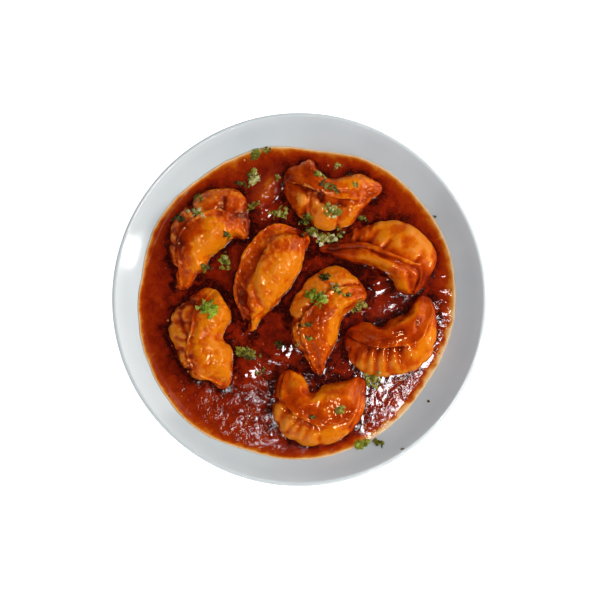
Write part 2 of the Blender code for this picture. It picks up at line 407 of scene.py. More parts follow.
def add_node(tree: bpy.types.NodeTree, kind: str, inputs: dict | None = None, **settings) -> bpy.types.Node:
    """Adds a node with its settings, values and links.

    Args:
        tree: The node tree to add to.
        kind: The node's type name.
        inputs: What its inputs hold, as feed takes them.
        settings: Properties of the node itself.

    Returns:
        The new node.
    """
    node = tree.nodes.new(kind)
    for name, value in settings.items():
        setattr(node, name, value)
    feed(node, inputs or {})
    return node


def set_stops(ramp: bpy.types.Node, stops: Iterable[tuple[float, str]]) -> None:
    """Gives a colour ramp its stops, each a place from 0 to 1 and an sRGB hex colour.

    Args:
        ramp: The colour ramp node.
        stops: Its stops in rising order.
    """
    elements = ramp.color_ramp.elements
    for index, (place, code) in enumerate(stops):
        stop = elements[index] if index < 2 else elements.new(place)
        stop.position = place
        stop.color = linear(code)


class Finish:
    """A material in the making: its tree, its surface shader and its places in millimetres."""

    def __init__(self, name: str) -> None:
        """Starts a material with this name.

        Args:
            name: Common name of the real material.
        """
        self.material = bpy.data.materials.new(name)
        self.material.use_nodes = True
        self.tree = self.material.node_tree
        self.shader = self.tree.nodes["Principled BSDF"]
        place = add_node(self.tree, "ShaderNodeTexCoord").outputs["Object"]
        self.place = self.add("ShaderNodeVectorMath", {0: place, "Scale": 1 / MM}, operation="SCALE")

    def add(self, kind: str, inputs: dict, **settings) -> bpy.types.Node:
        """Adds a node to the material."""
        return add_node(self.tree, kind, inputs, **settings)


@dataclass(frozen=True)
class GlazedStoneware:
    """White stoneware, dipped in a clear gloss glaze and fired.

    The glaze is smooth and cool white with faint clouds, and the lip is painted lighter: painted light on
    the rim.
    The ring that the plate stands on is wiped bare, so it is matt and warmer.
    """

    glaze: str = "#D6DDE0"
    cloud: str = "#CDD5D9"
    # Painted light: the lighter colour that the lip is painted.
    thin: str = "#E0E6E8"
    bare: str = "#CFC5B4"
    ior: float = 1.5
    gloss_roughness: float = 0.13
    bare_roughness: float = 0.85

    def material(self) -> bpy.types.Material:
        """Builds the material.

        Returns:
            The glaze, with bare clay where the attribute bare is 1.
        """
        made = Finish("glazed_white_stoneware")
        clouds = made.add("ShaderNodeTexNoise", {"Vector": made.place, "Scale": 1 / 38, "Detail": 2.0})
        wall = made.add("ShaderNodeValToRGB", {"Fac": clouds})
        set_stops(wall, ((0.35, self.glaze), (0.7, self.cloud)))
        bare = made.add("ShaderNodeAttribute", {}, attribute_name="bare").outputs["Fac"]
        # The lip is painted lighter with the thin colour: painted light on the rim.
        lip = made.add("ShaderNodeAttribute", {}, attribute_name="lip").outputs["Fac"]
        wall = made.add("ShaderNodeMix", {"Factor": lip, 6: wall, 7: linear(self.thin)}, data_type="RGBA")
        body = {"Factor": bare, 6: wall.outputs[2], 7: linear(self.bare)}
        gloss = {"Value": bare, "To Min": self.gloss_roughness, "To Max": self.bare_roughness}
        values = {
            "Base Color": made.add("ShaderNodeMix", body, data_type="RGBA"),
            "Roughness": made.add("ShaderNodeMapRange", gloss),
            "IOR": self.ior,
        }
        feed(made.shader, values)
        waves = made.add("ShaderNodeTexNoise", {"Vector": made.place, "Scale": 1 / 9, "Detail": 1.0})
        pinholes = made.add("ShaderNodeTexNoise", {"Vector": made.place, "Scale": 1 / 0.5})
        relief = made.add("ShaderNodeBump", {"Height": waves, "Distance": 0.03 * MM})
        relief = {"Height": pinholes, "Distance": 0.003 * MM, "Normal": relief}
        feed(made.shader, {"Normal": made.add("ShaderNodeBump", relief)})
        return made.material


@dataclass(frozen=True)
class SteamedWrapper:
    """Thin steamed wheat dough, coated in oily chilli sauce.

    Where the film of sauce is thin, the pale dough shines through and turns it orange. Where it
    gathers in folds, it is deep red. Pinched edges are painted paler: partly bare dough where the
    sauce runs off, and partly a painted highlight. The film is orange oil, so its small highlights
    are warm.
    """

    edge: str = "#F0A04C"
    bare: str = "#E87E08"
    thin: str = "#D65804"
    usual: str = "#BC3E02"
    thick: str = "#9C2802"
    deep: str = "#681202"
    shine: str = "#FFD49C"
    edge_highlight_share: float = 0.4
    ior: float = 1.4

    def material(self) -> bpy.types.Material:
        """Builds the material.

        Returns:
            The coated dough, which reads film, crest and puckered.
        """
        made = Finish("steamed_wheat_wrapper_in_sauce")
        film = made.add("ShaderNodeAttribute", {}, attribute_name="film").outputs["Fac"]
        drift = {"Vector": made.place, "Scale": 1 / 6.5, "Detail": 3.0, "Distortion": 0.5}
        drift = {"Value": made.add("ShaderNodeTexNoise", drift), 1: 0.3, 2: 0.72, 3: -0.14, 4: 0.14}
        drift = made.add("ShaderNodeMapRange", drift)
        spots = {"Vector": made.place, "Scale": 1 / 1.8, "Detail": 2.0, "Distortion": 0.6}
        spots = {"Value": made.add("ShaderNodeTexNoise", spots), 1: 0.55, 2: 0.75, 3: 0.0, 4: 0.12}
        spots = made.add("ShaderNodeMapRange", spots)
        coat = made.add("ShaderNodeMath", {0: film, 1: drift}, operation="ADD")
        coat = made.add("ShaderNodeMath", {0: coat, 1: spots}, operation="ADD")
        colour = made.add("ShaderNodeValToRGB", {"Fac": coat})
        stops = (
            (0.0, self.bare),
            (0.18, self.thin),
            (0.42, self.usual),
            (0.7, self.thick),
            (1.0, self.deep),
        )
        set_stops(colour, stops)
        # Pinched edges are paler: partly bare dough where the sauce runs off, partly a painted highlight.
        crest = made.add("ShaderNodeAttribute", {}, attribute_name="crest").outputs["Fac"]
        crest = made.add("ShaderNodeMath", {0: crest, 1: self.edge_highlight_share}, operation="MULTIPLY")
        colour = {"Factor": crest, 6: colour.outputs["Color"], 7: linear(self.edge)}
        colour = made.add("ShaderNodeMix", colour, data_type="RGBA")
        wetness = {"Vector": made.place, "Scale": 1 / 2.5, "Detail": 3.0}
        wetness = {"Value": made.add("ShaderNodeTexNoise", wetness), 1: 0.3, 2: 0.7, 3: 0.04, 4: 0.13}
        values = {
            "Base Color": colour,
            "IOR": self.ior,
            "Roughness": made.add("ShaderNodeMapRange", wetness),
            "Specular Tint": linear(self.shine),
            "Subsurface Weight": 0.1,
            "Subsurface Radius": (1.0, 0.35, 0.1),
            "Subsurface Scale": 1.5 * MM,
        }
        feed(made.shader, values)
        puckered = made.add("ShaderNodeAttribute", {}, attribute_name="puckered").outputs["Fac"]
        puckers = {"Vector": made.place, "Scale": 1 / 2.8, "Detail": 0.6, "Distortion": 0.6}
        puckers = {0: made.add("ShaderNodeTexNoise", puckers), 1: puckered}
        puckers = made.add("ShaderNodeMath", puckers, operation="MULTIPLY")
        relief = made.add("ShaderNodeBump", {"Height": puckers, "Distance": 0.45 * MM})
        grains = {"Vector": made.place, "Scale": 1 / 1.1, "Detail": 1.0}
        grains = made.add("ShaderNodeTexNoise", grains)
        relief = {"Height": grains, "Distance": 0.012 * MM, "Normal": relief}
        feed(made.shader, {"Normal": made.add("ShaderNodeBump", relief)})
        return made.material


@dataclass(frozen=True)
class ChilliSauce:
    """Tomato and chilli gravy fried in oil, with ground spice in it.

    Deep pools are red-brown. The rim of the pool is thin, so the white plate lights it orange and
    then yellow where only oil is left. Its surface is wet, smooth where it is oily and rough where
    chopped garlic and chilli lie close under it.
    """

    oil: str = "#FADEB9"
    film: str = "#EEBC80"
    rim: str = "#DE944A"
    edge: str = "#CE7424"
    shallow: str = "#C05A0C"
    middle: str = "#A23004"
    deep: str = "#861B04"
    shade: str = "#300403"
    speck: str = "#C05018"
    ior: float = 1.36

    def material(self) -> bpy.types.Material:
        """Builds the material.

        Returns:
            The sauce, which reads depth (which carries painted shade next to the dumplings), grit and wet.
        """
        made = Finish("oily_chilli_tomato_sauce")
        depth = made.add("ShaderNodeAttribute", {}, attribute_name="depth").outputs["Fac"]
        grit = made.add("ShaderNodeAttribute", {}, attribute_name="grit").outputs["Fac"]
        clouds = {"Vector": made.place, "Scale": 1 / 6, "Detail": 5.0, "Roughness": 0.6, "Distortion": 0.6}
        clouds = {"Value": made.add("ShaderNodeTexNoise", clouds), 1: 0.3, 2: 0.7, 3: 0.64, 4: 1.44}
        clouds = made.add("ShaderNodeMapRange", clouds)
        place = made.add("ShaderNodeMath", {0: depth, 1: clouds}, operation="MULTIPLY")
        pool = made.add("ShaderNodeValToRGB", {"Fac": place})
        stops = (
            (0.0, self.oil),
            (0.045, self.film),
            (0.095, self.rim),
            (0.155, self.edge),
            (0.21, self.shallow),
            (0.33, self.middle),
            (0.62, self.deep),
            # The darkest stop is mostly reached through the painted shade close to each dumpling.
            (1.0, self.shade),
        )
        set_stops(pool, stops)
        spice = {"Vector": made.place, "Scale": 1 / 0.9, "Detail": 2.0}
        spice = {"Value": made.add("ShaderNodeTexNoise", spice), 1: 0.56, 2: 0.68, 3: 0.0, 4: 0.8}
        spice = made.add("ShaderNodeMapRange", spice)
        rough = made.add("ShaderNodeMath", {0: grit, 1: 0.24}, operation="MAXIMUM")
        spice = made.add("ShaderNodeMath", {0: spice, 1: rough}, operation="MULTIPLY")
        colour = {"Factor": spice, 6: pool, 7: linear(self.speck)}
        values = {
            "Base Color": made.add("ShaderNodeMix", colour, data_type="RGBA"),
            "IOR": self.ior,
            "Roughness": 0.36,
            "Specular IOR Level": 0.0,
            "Coat Weight": made.add("ShaderNodeAttribute", {}, attribute_name="wet").outputs["Fac"],
            "Coat Roughness": 0.05,
            "Coat IOR": 1.38,
        }
        feed(made.shader, values)
        swell = made.add("ShaderNodeTexNoise", {"Vector": made.place, "Scale": 1 / 7, "Detail": 1.0})
        crumbs = {"Vector": made.place, "Scale": 1 / 1.7, "Detail": 2.0, "Distortion": 0.8}
        crumbs = made.add("ShaderNodeTexNoise", crumbs)
        crumbs = made.add("ShaderNodeMath", {0: crumbs, 1: rough}, operation="MULTIPLY")
        relief = made.add("ShaderNodeBump", {"Height": swell, "Distance": 0.06 * MM})
        relief = {"Height": crumbs, "Distance": 0.16 * MM, "Normal": relief}
        relief = made.add("ShaderNodeBump", relief)
        feed(made.shader, {"Normal": relief, "Coat Normal": relief})
        return made.material


@dataclass(frozen=True)
class Morsel:
    """A small cooked crumb of the sauce: two colours in soft clouds under a film of oil."""

    name: str
    dark: str
    light: str
    roughness: float
    soak: float = 0.0
    cloud: float = 0.8
    relief_depth: float = 0.06
    oil: float = 0.6

    def material(self) -> bpy.types.Material:
        """Builds the material.

        Returns:
            The crumb's material.
        """
        made = Finish(self.name)
        clouds = made.add("ShaderNodeTexNoise", {"Vector": made.place, "Scale": 1 / self.cloud})
        colour = made.add("ShaderNodeValToRGB", {"Fac": clouds})
        set_stops(colour, ((0.32, self.dark), (0.68, self.light)))
        values = {
            "Base Color": colour,
            "Roughness": self.roughness,
            "Coat Weight": self.oil,
            "Coat Roughness": 0.08,
            "Subsurface Weight": self.soak,
            "Subsurface Scale": 0.6 * MM,
        }
        feed(made.shader, values)
        cuts = {"Vector": made.place, "Scale": 2.5 / self.cloud, "Detail": 1.0}
        relief = {"Height": made.add("ShaderNodeTexNoise", cuts), "Distance": self.relief_depth * MM}
        relief = made.add("ShaderNodeBump", relief)
        feed(made.shader, {"Normal": relief, "Coat Normal": relief})
        return made.material


@dataclass(frozen=True)
class FriedGarlic(Morsel):
    """Garlic, chopped and fried: pale gold and a little see-through."""

    name: str = "chopped_garlic_in_oil"
    dark: str = "#C8601A"
    light: str = "#E8A860"
    roughness: float = 0.4
    soak: float = 0.2


@dataclass(frozen=True)
class ChilliFlake(Morsel):
    """Dried red chilli, crushed and soaked in oil: dark red and shiny."""

    name: str = "crushed_chilli_flake"
    dark: str = "#7A1204"
    light: str = "#B03008"
    roughness: float = 0.35
    oil: float = 0.7


@dataclass(frozen=True)
class CorianderLeaf:
    """Fresh coriander leaf, chopped with a knife.

    Dry bits are yellow-green with pale edges. Bits that have soaked in the sauce are dark olive
    and shine with oil.
    """

    soaked: str = "#2A2204"
    dull: str = "#5C4A16"
    olive: str = "#8A7420"
    straw: str = "#B4A452"
    pale: str = "#DCD0A8"
    dark: str = "#2E3204"
    leaf: str = "#5C6A10"
    fresh: str = "#86A00E"
    bright: str = "#A8BC26"
    frost: str = "#C4D27A"

    def material(self) -> bpy.types.Material:
        """Builds the material.

        Returns:
            The leaf, which reads tone and crisp.
        """
        made = Finish("chopped_coriander_leaf")
        tone = made.add("ShaderNodeAttribute", {}, attribute_name="tone").outputs["Fac"]
        clouds = made.add("ShaderNodeTexNoise", {"Vector": made.place, "Scale": 1 / 1.4})
        clouds = made.add("ShaderNodeMapRange", {"Value": clouds, 1: 0.3, 2: 0.7, 3: -0.22, 4: 0.22})
        green = made.add("ShaderNodeMath", {0: tone, 1: clouds}, operation="ADD")
        places = (0.0, 0.3, 0.6, 0.84, 1.0)
        soft = made.add("ShaderNodeValToRGB", {"Fac": green})
        set_stops(soft, zip(places, (self.soaked, self.dull, self.olive, self.straw, self.pale)))
        crisp = made.add("ShaderNodeValToRGB", {"Fac": green})
        set_stops(crisp, zip(places, (self.dark, self.leaf, self.fresh, self.bright, self.frost)))
        crispness = made.add("ShaderNodeAttribute", {}, attribute_name="crisp").outputs["Fac"]
        colour = {"Factor": crispness, 6: soft.outputs["Color"], 7: crisp.outputs["Color"]}
        values = {
            "Base Color": made.add("ShaderNodeMix", colour, data_type="RGBA").outputs[2],
            "Roughness": 0.45,
            "Specular IOR Level": 0.2,
            "Coat Weight": 0.06,
            "Coat Roughness": 0.12,
        }
        feed(made.shader, values)
        veins = made.add("ShaderNodeTexNoise", {"Vector": made.place, "Scale": 1 / 0.8, "Detail": 1.0})
        relief = made.add("ShaderNodeBump", {"Height": veins, "Distance": 0.08 * MM})
        feed(made.shader, {"Normal": relief, "Coat Normal": relief})
        return made.material


# ---------------------------------------------------------------- plate


@dataclass(frozen=True)
class Plate:
    """A coupe plate: a flat well that curves up to a rounded lip, on a ring foot.

    pole is the radius of the small face that closes each side in the middle. The foot is bare
    below the heights in bare_heights, and the outermost painted_light_lip_band is painted lighter: painted
    light.
    """

    well_radius: float = 54.0
    well_height: float = 6.0
    wall_thickness: float = 3.2
    wall_rise: float = 18.6
    lip_slope: float = math.radians(42.5)
    foot_radius: float = 61.0
    foot_width: float = 4.0
    foot_round: float = 0.8
    base_height: float = 2.6
    base_bevel: float = 0.6
    pole: float = 0.5
    bare_heights: tuple[float, float] = (0.55, 0.25)
    painted_light_lip_band: float = 5.0
    turns: int = 240
    node: str = "plate"

    @property
    def radius(self) -> float:
        """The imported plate's outer radius."""
        low, high = box_mm(self.node)
        return float(high[0] - low[0]) / 2

    @property
    def wall_radius(self) -> float:
        """Radius at which the upper face meets the lip."""
        return self.radius - self.wall_thickness / 2 * (1 + math.sin(self.lip_slope))

    @property
    def power(self) -> float:
        """How sharply the wall turns up."""
        return math.tan(self.lip_slope) * (self.wall_radius - self.well_radius) / self.wall_rise

    def height(self, radius: Array) -> Array:
        """Height of the upper face at a radius."""
        climb = np.maximum(0.0, radius - self.well_radius) / (self.wall_radius - self.well_radius)
        return self.well_height + self.wall_rise * climb**self.power

    def profile(self) -> Array:
        """Half section from the well's middle over the lip and back under the foot.

        Returns:
            Radius and height of each point, in millimetres.
        """
        flat = np.linspace(self.pole, self.well_radius, 10)
        top = np.concatenate([flat, np.linspace(self.well_radius + 1, self.wall_radius, 40)])
        upper = np.stack([top, self.height(top)], 1)
        half = self.wall_thickness / 2
        turn = math.pi / 2 + self.lip_slope - np.linspace(0.1, math.pi - 0.1, 14)
        centre = upper[-1] + half * np.array([math.sin(self.lip_slope), -math.cos(self.lip_slope)])
        lip = centre + half * np.stack([np.cos(turn), np.sin(turn)], 1)
        back = np.linspace(self.wall_radius, self.foot_radius + 1.2, 22)
        tilt = np.arctan(np.gradient(self.height(back), back))
        wall_radii = back + self.wall_thickness * np.sin(tilt)
        outer_wall = np.stack([wall_radii, self.height(back) - self.wall_thickness * np.cos(tilt)], 1)
        turn = np.linspace(0, math.pi / 2, 5)
        inset, height = self.foot_round * (1 - np.cos(turn)), self.foot_round * (1 - np.sin(turn))
        outer_foot = np.stack([self.foot_radius - inset, height], 1)
        inner = self.foot_radius - self.foot_width
        inner_foot = np.stack([inner + inset, height], 1)[::-1]
        base = np.array(
            [
                (inner, self.base_height - self.base_bevel),
                (inner - self.base_bevel, self.base_height),
                (self.pole, self.base_height),
            ]
        )
        return np.concatenate([upper, lip, outer_wall, outer_foot, inner_foot, base])

    def build(self) -> bpy.types.Object:
        """Turns the profile about the vertical axis and glazes it.

        Returns:
            The plate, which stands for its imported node.
        """
        profile = self.profile()
        angles = np.linspace(0, 2 * math.pi, self.turns, endpoint=False)
        radius = profile[:, :1]
        height = np.broadcast_to(profile[:, 1:], (len(profile), self.turns))
        grid = np.stack([radius * np.cos(angles), radius * np.sin(angles), height], 2)
        finish = GlazedStoneware().material()
        obj = make_object("plate_glazed", grid, ring_faces(*grid.shape[:2]), finish)
        out = np.hypot(grid[..., 0], grid[..., 1])
        add_attribute(obj, "bare", ease(grid[..., 2], *self.bare_heights))
        # Where the lip is painted lighter: painted light.
        add_attribute(obj, "lip", ease(out, self.wall_radius - self.painted_light_lip_band, self.radius))
        face_outwards(obj)
        wear(obj, [self.node])
        return obj


# ---------------------------------------------------------------- dumplings


@dataclass(frozen=True)
class Fold:
    """A groove pressed into the dough along a line in plan, or with a negative depth a ridge.

    kept is the share of the depth that the springy dough keeps, and spread how far the groove's
    sides slope out, in widths.
    """

    line: Line
    depth: float
    width: float
    kept: float = 0.62
    spread: float = 1.2

    def press(self, plan: Array) -> Array:
        """How far the dough sinks at each point in plan, in millimetres."""
        gap = distance_to_line(plan, self.line)
        return self.kept * self.depth * np.exp(-((gap / (self.spread * self.width)) ** 2))


@dataclass(frozen=True)
class Momo:
    """One crescent dumpling, folded along a seam and pleated on one side.

    The spine is an arc from the start tip to the end tip, bowed towards the pleated side. smooth,
    seam and pleated are reaches from it, in plan, at seven even stations: of the smooth belly, of
    the fin's free edge and of the pleated belly. crest holds heights over the well. root_drop and
    edge_drop say how far the fin's root and edge lie below the crest. creases are the places along
    the seam, from 0 to 1, where one pleat tucks under the next. The sauce coats the dough coating
    thick on average, wet more or less than that on one dumpling, and clings round the waterline.
    The patches in stains thicken or thin the film: partly real marks of sauce, and partly painted
    shade where they darken and painted light where they lighten.
    """

    node: str
    start: tuple[float, float]
    end: tuple[float, float]
    bow: float
    tips: tuple[float, float]
    smooth: tuple[float, ...]
    seam: tuple[float, ...]
    pleated: tuple[float, ...]
    crest: tuple[float, ...]
    root_drop: float
    edge_drop: float
    fin: float
    creases: tuple[float, ...]
    pleat_depth: float
    ripple: float
    ripples: float = 3.0
    folds: tuple[Fold, ...] = ()
    wet: float = 0.0
    stains_and_painted_shading: tuple[Patch, ...] = ()
    puckered: float = 0.6
    seed: int = 1

    well_height: float = 6.0
    fin_thickness: float = 1.7
    full_height: float = 14.0
    tip_rounding: float = 0.05
    tip_lift: float = 4.0
    clearance: float = 0.45
    coating: float = 0.32
    waterline: float = 16.2
    waterline_fade: float = 1.6
    sharp_edge: tuple[float, float] = (0.05, 0.3)
    stations: int = 190
    samples: int = 8

    def spine(self, t: Array) -> tuple[Array, Array]:
        """Points and outward normals, in plan, of the arc between the tips.

        Args:
            t: Stations along the seam, from 0 to 1.

        Returns:
            The points and the normals.
        """
        start, end = np.array(self.start), np.array(self.end)
        chord = end - start
        half = np.linalg.norm(chord) / 2
        ahead = chord / (2 * half)
        side = np.array([-ahead[1], ahead[0]])
        radius = (half**2 + self.bow**2) / (2 * self.bow)
        centre = start + chord / 2 + side * (self.bow - radius)
        angle = ((2 * t - 1) * math.asin(half / radius))[:, None]
        normal = side * np.cos(angle) + ahead * np.sin(angle)
        return centre + normal * radius, normal

    def lobes(self, t: Array) -> Array:
        """Profile of the pleats along the seam: rounded lobes, from 0 in the tucks to 1.

        Args:
            t: Stations along the seam, from 0 to 1.

        Returns:
            How far each station bulges, from 0 to 1.
        """
        edges = np.array((-0.05, *self.creases, 1.05))
        index = np.clip(np.searchsorted(edges, t) - 1, 0, len(edges) - 2)
        share = (t - edges[index]) / (edges[index + 1] - edges[index])
        skewed = np.clip(share, 0, 1) ** 0.8
        return np.sqrt(np.clip(4 * skewed * (1 - skewed), 0, 1))

    def section(self, t: Array) -> Array:
        """Control points of the closed cross-sections.

        Args:
            t: Stations along the seam, from 0 to 1.

        Returns:
            An array of station, control point, and (reach, height over the well).
        """
        first, last = self.tips
        inner = -smooth_through((first, *self.smooth, last), t)
        seam = smooth_through((0.2 * first, *self.seam, 0.2 * last), t)
        outer = smooth_through((first, *self.pleated, last), t)
        seam = seam + self.ripple * np.sin(2 * math.pi * self.ripples * t)
        crest = smooth_through(self.crest, t)
        foot = self.tip_lift * np.abs(2 * t - 1) ** 5
        size = np.minimum(1.0, (crest - foot) / self.full_height)
        width = seam - inner
        fin = np.minimum(self.fin, 0.45 * width)
        belly = width - fin
        edge = crest - self.edge_drop * size
        thick = self.fin_thickness * size
        under = np.minimum(0.75 * (crest - foot), edge - foot - 1.7 * thick)
        swell = self.pleat_depth * size * (self.lobes(t) - 0.6)
        band = outer - seam
        tall = crest - foot
        points = (
            (inner + 0.50 * belly, foot),
            (inner + 0.18 * belly, foot),
            (inner, foot + 0.38 * tall),
            (inner + 0.10 * belly, foot + 0.70 * tall),
            (inner + 0.32 * belly, foot + 0.935 * tall),
            (inner + 0.60 * belly, crest),
            (inner + 0.86 * belly, crest - 0.25 * self.root_drop * size),
            (seam - fin, crest - self.root_drop * size),
            (seam - 0.45 * fin, edge - 0.05 * thick),
            (seam - 0.10 * fin, edge + 0.05 * thick),
            (seam, edge - 0.40 * thick),
            (seam - 0.30 * fin, edge - thick),
            (seam - 0.85 * fin + 0.3 * swell, edge - 1.6 * thick),
            (seam - 0.10 * fin + 0.7 * swell, foot + under + 0.35 * swell),
            (seam + 0.40 * band + swell, foot + 0.97 * under + 0.4 * swell),
            (outer - 0.12 * band + swell, foot + 0.75 * under),
            (outer + 0.9 * swell, foot + 0.42 * under),
            (outer - 0.16 * (outer - inner), foot),
        )
        return np.stack([np.stack(point, 1) for point in points], 1)

    def around(self, control: Array) -> Array:
        """Rounds each section through its control points with closed Catmull-Rom curves.

        Args:
            control: Control points of each section.

        Returns:
            The rounded sections, station by station.
        """
        share = np.arange(self.samples)[None, None, :, None] / self.samples
        four = (np.roll(control, -step, 1)[:, :, None, :] for step in (-1, 0, 1, 2))
        return curve_between(*four, share).reshape(len(control), -1, 2)

    def surface(self) -> Array:
        """Lofts the dumpling's smooth form.

        Returns:
            A grid of points in millimetres, ring by ring from tip to tip.
        """
        # Stations crowd towards both tips, and none lies quite on a tip.
        even = (np.arange(self.stations) + 0.15) / (self.stations - 0.7)
        t = even - 0.55 * np.sin(2 * math.pi * even) / (2 * math.pi)
        sections = soften(self.around(self.section(t)), 2)
        middle = sections.mean(axis=1, keepdims=True)
        tip = np.clip(np.minimum(t, 1 - t) / self.tip_rounding, 0, 1)
        scale = np.sqrt(1 - (1 - tip) ** 2)[:, None, None]
        sections = middle + (sections - middle) * scale
        place, normal = self.spine(t)
        plan = place[:, None] + normal[:, None] * sections[..., :1]
        return np.concatenate([plan, self.well_height + sections[..., 1:]], 2)

    def shaped(self) -> Array:
        """The form with its pressed folds and the dough's own lumps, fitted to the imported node.

        Returns:
            The grid of points in millimetres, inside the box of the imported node.
        """
        grid = self.surface()
        upward = ease(ring_normals(soften(grid, 4))[..., 2], -0.05, 0.45)
        for fold in self.folds:
            normal = ring_normals(soften(grid, 3))
            grid = grid - normal * (fold.press(grid[..., :2]) * upward)[..., None]
        normal = ring_normals(grid)
        # Soft lumps of filling, fine wrinkles in the dough, and clots of sauce that cling in patches.
        lumps = 0.55 * grain(grid, 13.0, self.seed) + 0.30 * grain(grid, 5.5, self.seed + 7)
        wrinkles = 0.24 * self.puckered * grain(grid, 3.0, self.seed + 19, 2)
        patches = ease(grain(grid, 9.0, self.seed + 23, 2), 0.0, 0.8)
        clots = 0.7 * self.puckered * patches * np.maximum(grain(grid, 2.6, self.seed + 29, 2), 0)
        grid = grid + normal * (lumps + wrinkles + clots)[..., None]
        low, high = box_mm(self.node)
        mine_low, mine_high = grid.min(axis=(0, 1)), grid.max(axis=(0, 1))
        return low + (grid - mine_low) * (high - low) / (mine_high - mine_low)

    def film(self, grid: Array) -> Array:
        """How thick the sauce looks, from 0 on bare ridges to 1 in folds, at the waterline and in painted
        shade.

        Args:
            grid: The dumpling's points.

        Returns:
            The share of the thickest film at each point.
        """
        normal = ring_normals(grid)
        small = np.sum((soften(grid, 14) - grid) * normal, axis=2)
        large = np.sum((soften(grid, 90) - grid) * normal, axis=2)
        # Sauce gathers in hollows of both sizes, in drifting clouds and raggedly at the waterline.
        cloud = grain(grid, 16.0, self.seed + 31, 2)
        ragged = 1.5 * grain(grid, 6.0, self.seed + 37, 2)
        low = np.exp(-np.maximum(grid[..., 2] - self.waterline + ragged, 0) / self.waterline_fade)
        # The patches thicken or thin the film: partly real marks of sauce, partly painted shade where they
        # darken and painted light where they lighten.
        runs = 0.3 * cloud + 0.5 * low + painted(self.stains_and_painted_shading, grid[..., :2]) * (1 + 0.5 * cloud)
        return np.clip(self.coating + self.wet + 0.55 * small + 0.2 * large + runs, 0, 1)

    def bare_edges_and_highlights(self, grid: Array) -> Array:
        """Pinched thin edges, painted paler: partly bare dough where sauce runs off, partly a painted
        highlight.
        """
        sharpness = np.sum((grid - soften(grid, 4)) * ring_normals(grid), axis=2)
        return ease(sharpness, *self.sharp_edge)

    def build(self, finish: bpy.types.Material, plate: Plate) -> bpy.types.Object:
        """Builds and coats the dumpling.

        Args:
            finish: The wrapper's material.
            plate: The plate that it stands on.

        Returns:
            The dumpling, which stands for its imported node.
        """
        grid = self.shaped()
        floor = plate.height(np.hypot(grid[..., 0], grid[..., 1])) + self.clearance
        grid[..., 2] = np.maximum(grid[..., 2], floor)
        obj = make_object(f"{self.node}_wrapper", grid, ring_faces(*grid.shape[:2]), finish)
        add_attribute(obj, "film", self.film(grid))
        add_attribute(obj, "crest", self.bare_edges_and_highlights(grid))
        add_attribute(obj, "puckered", np.full(grid.shape[:2], self.puckered))
        face_outwards(obj)
        wear(obj, [self.node])
        return obj


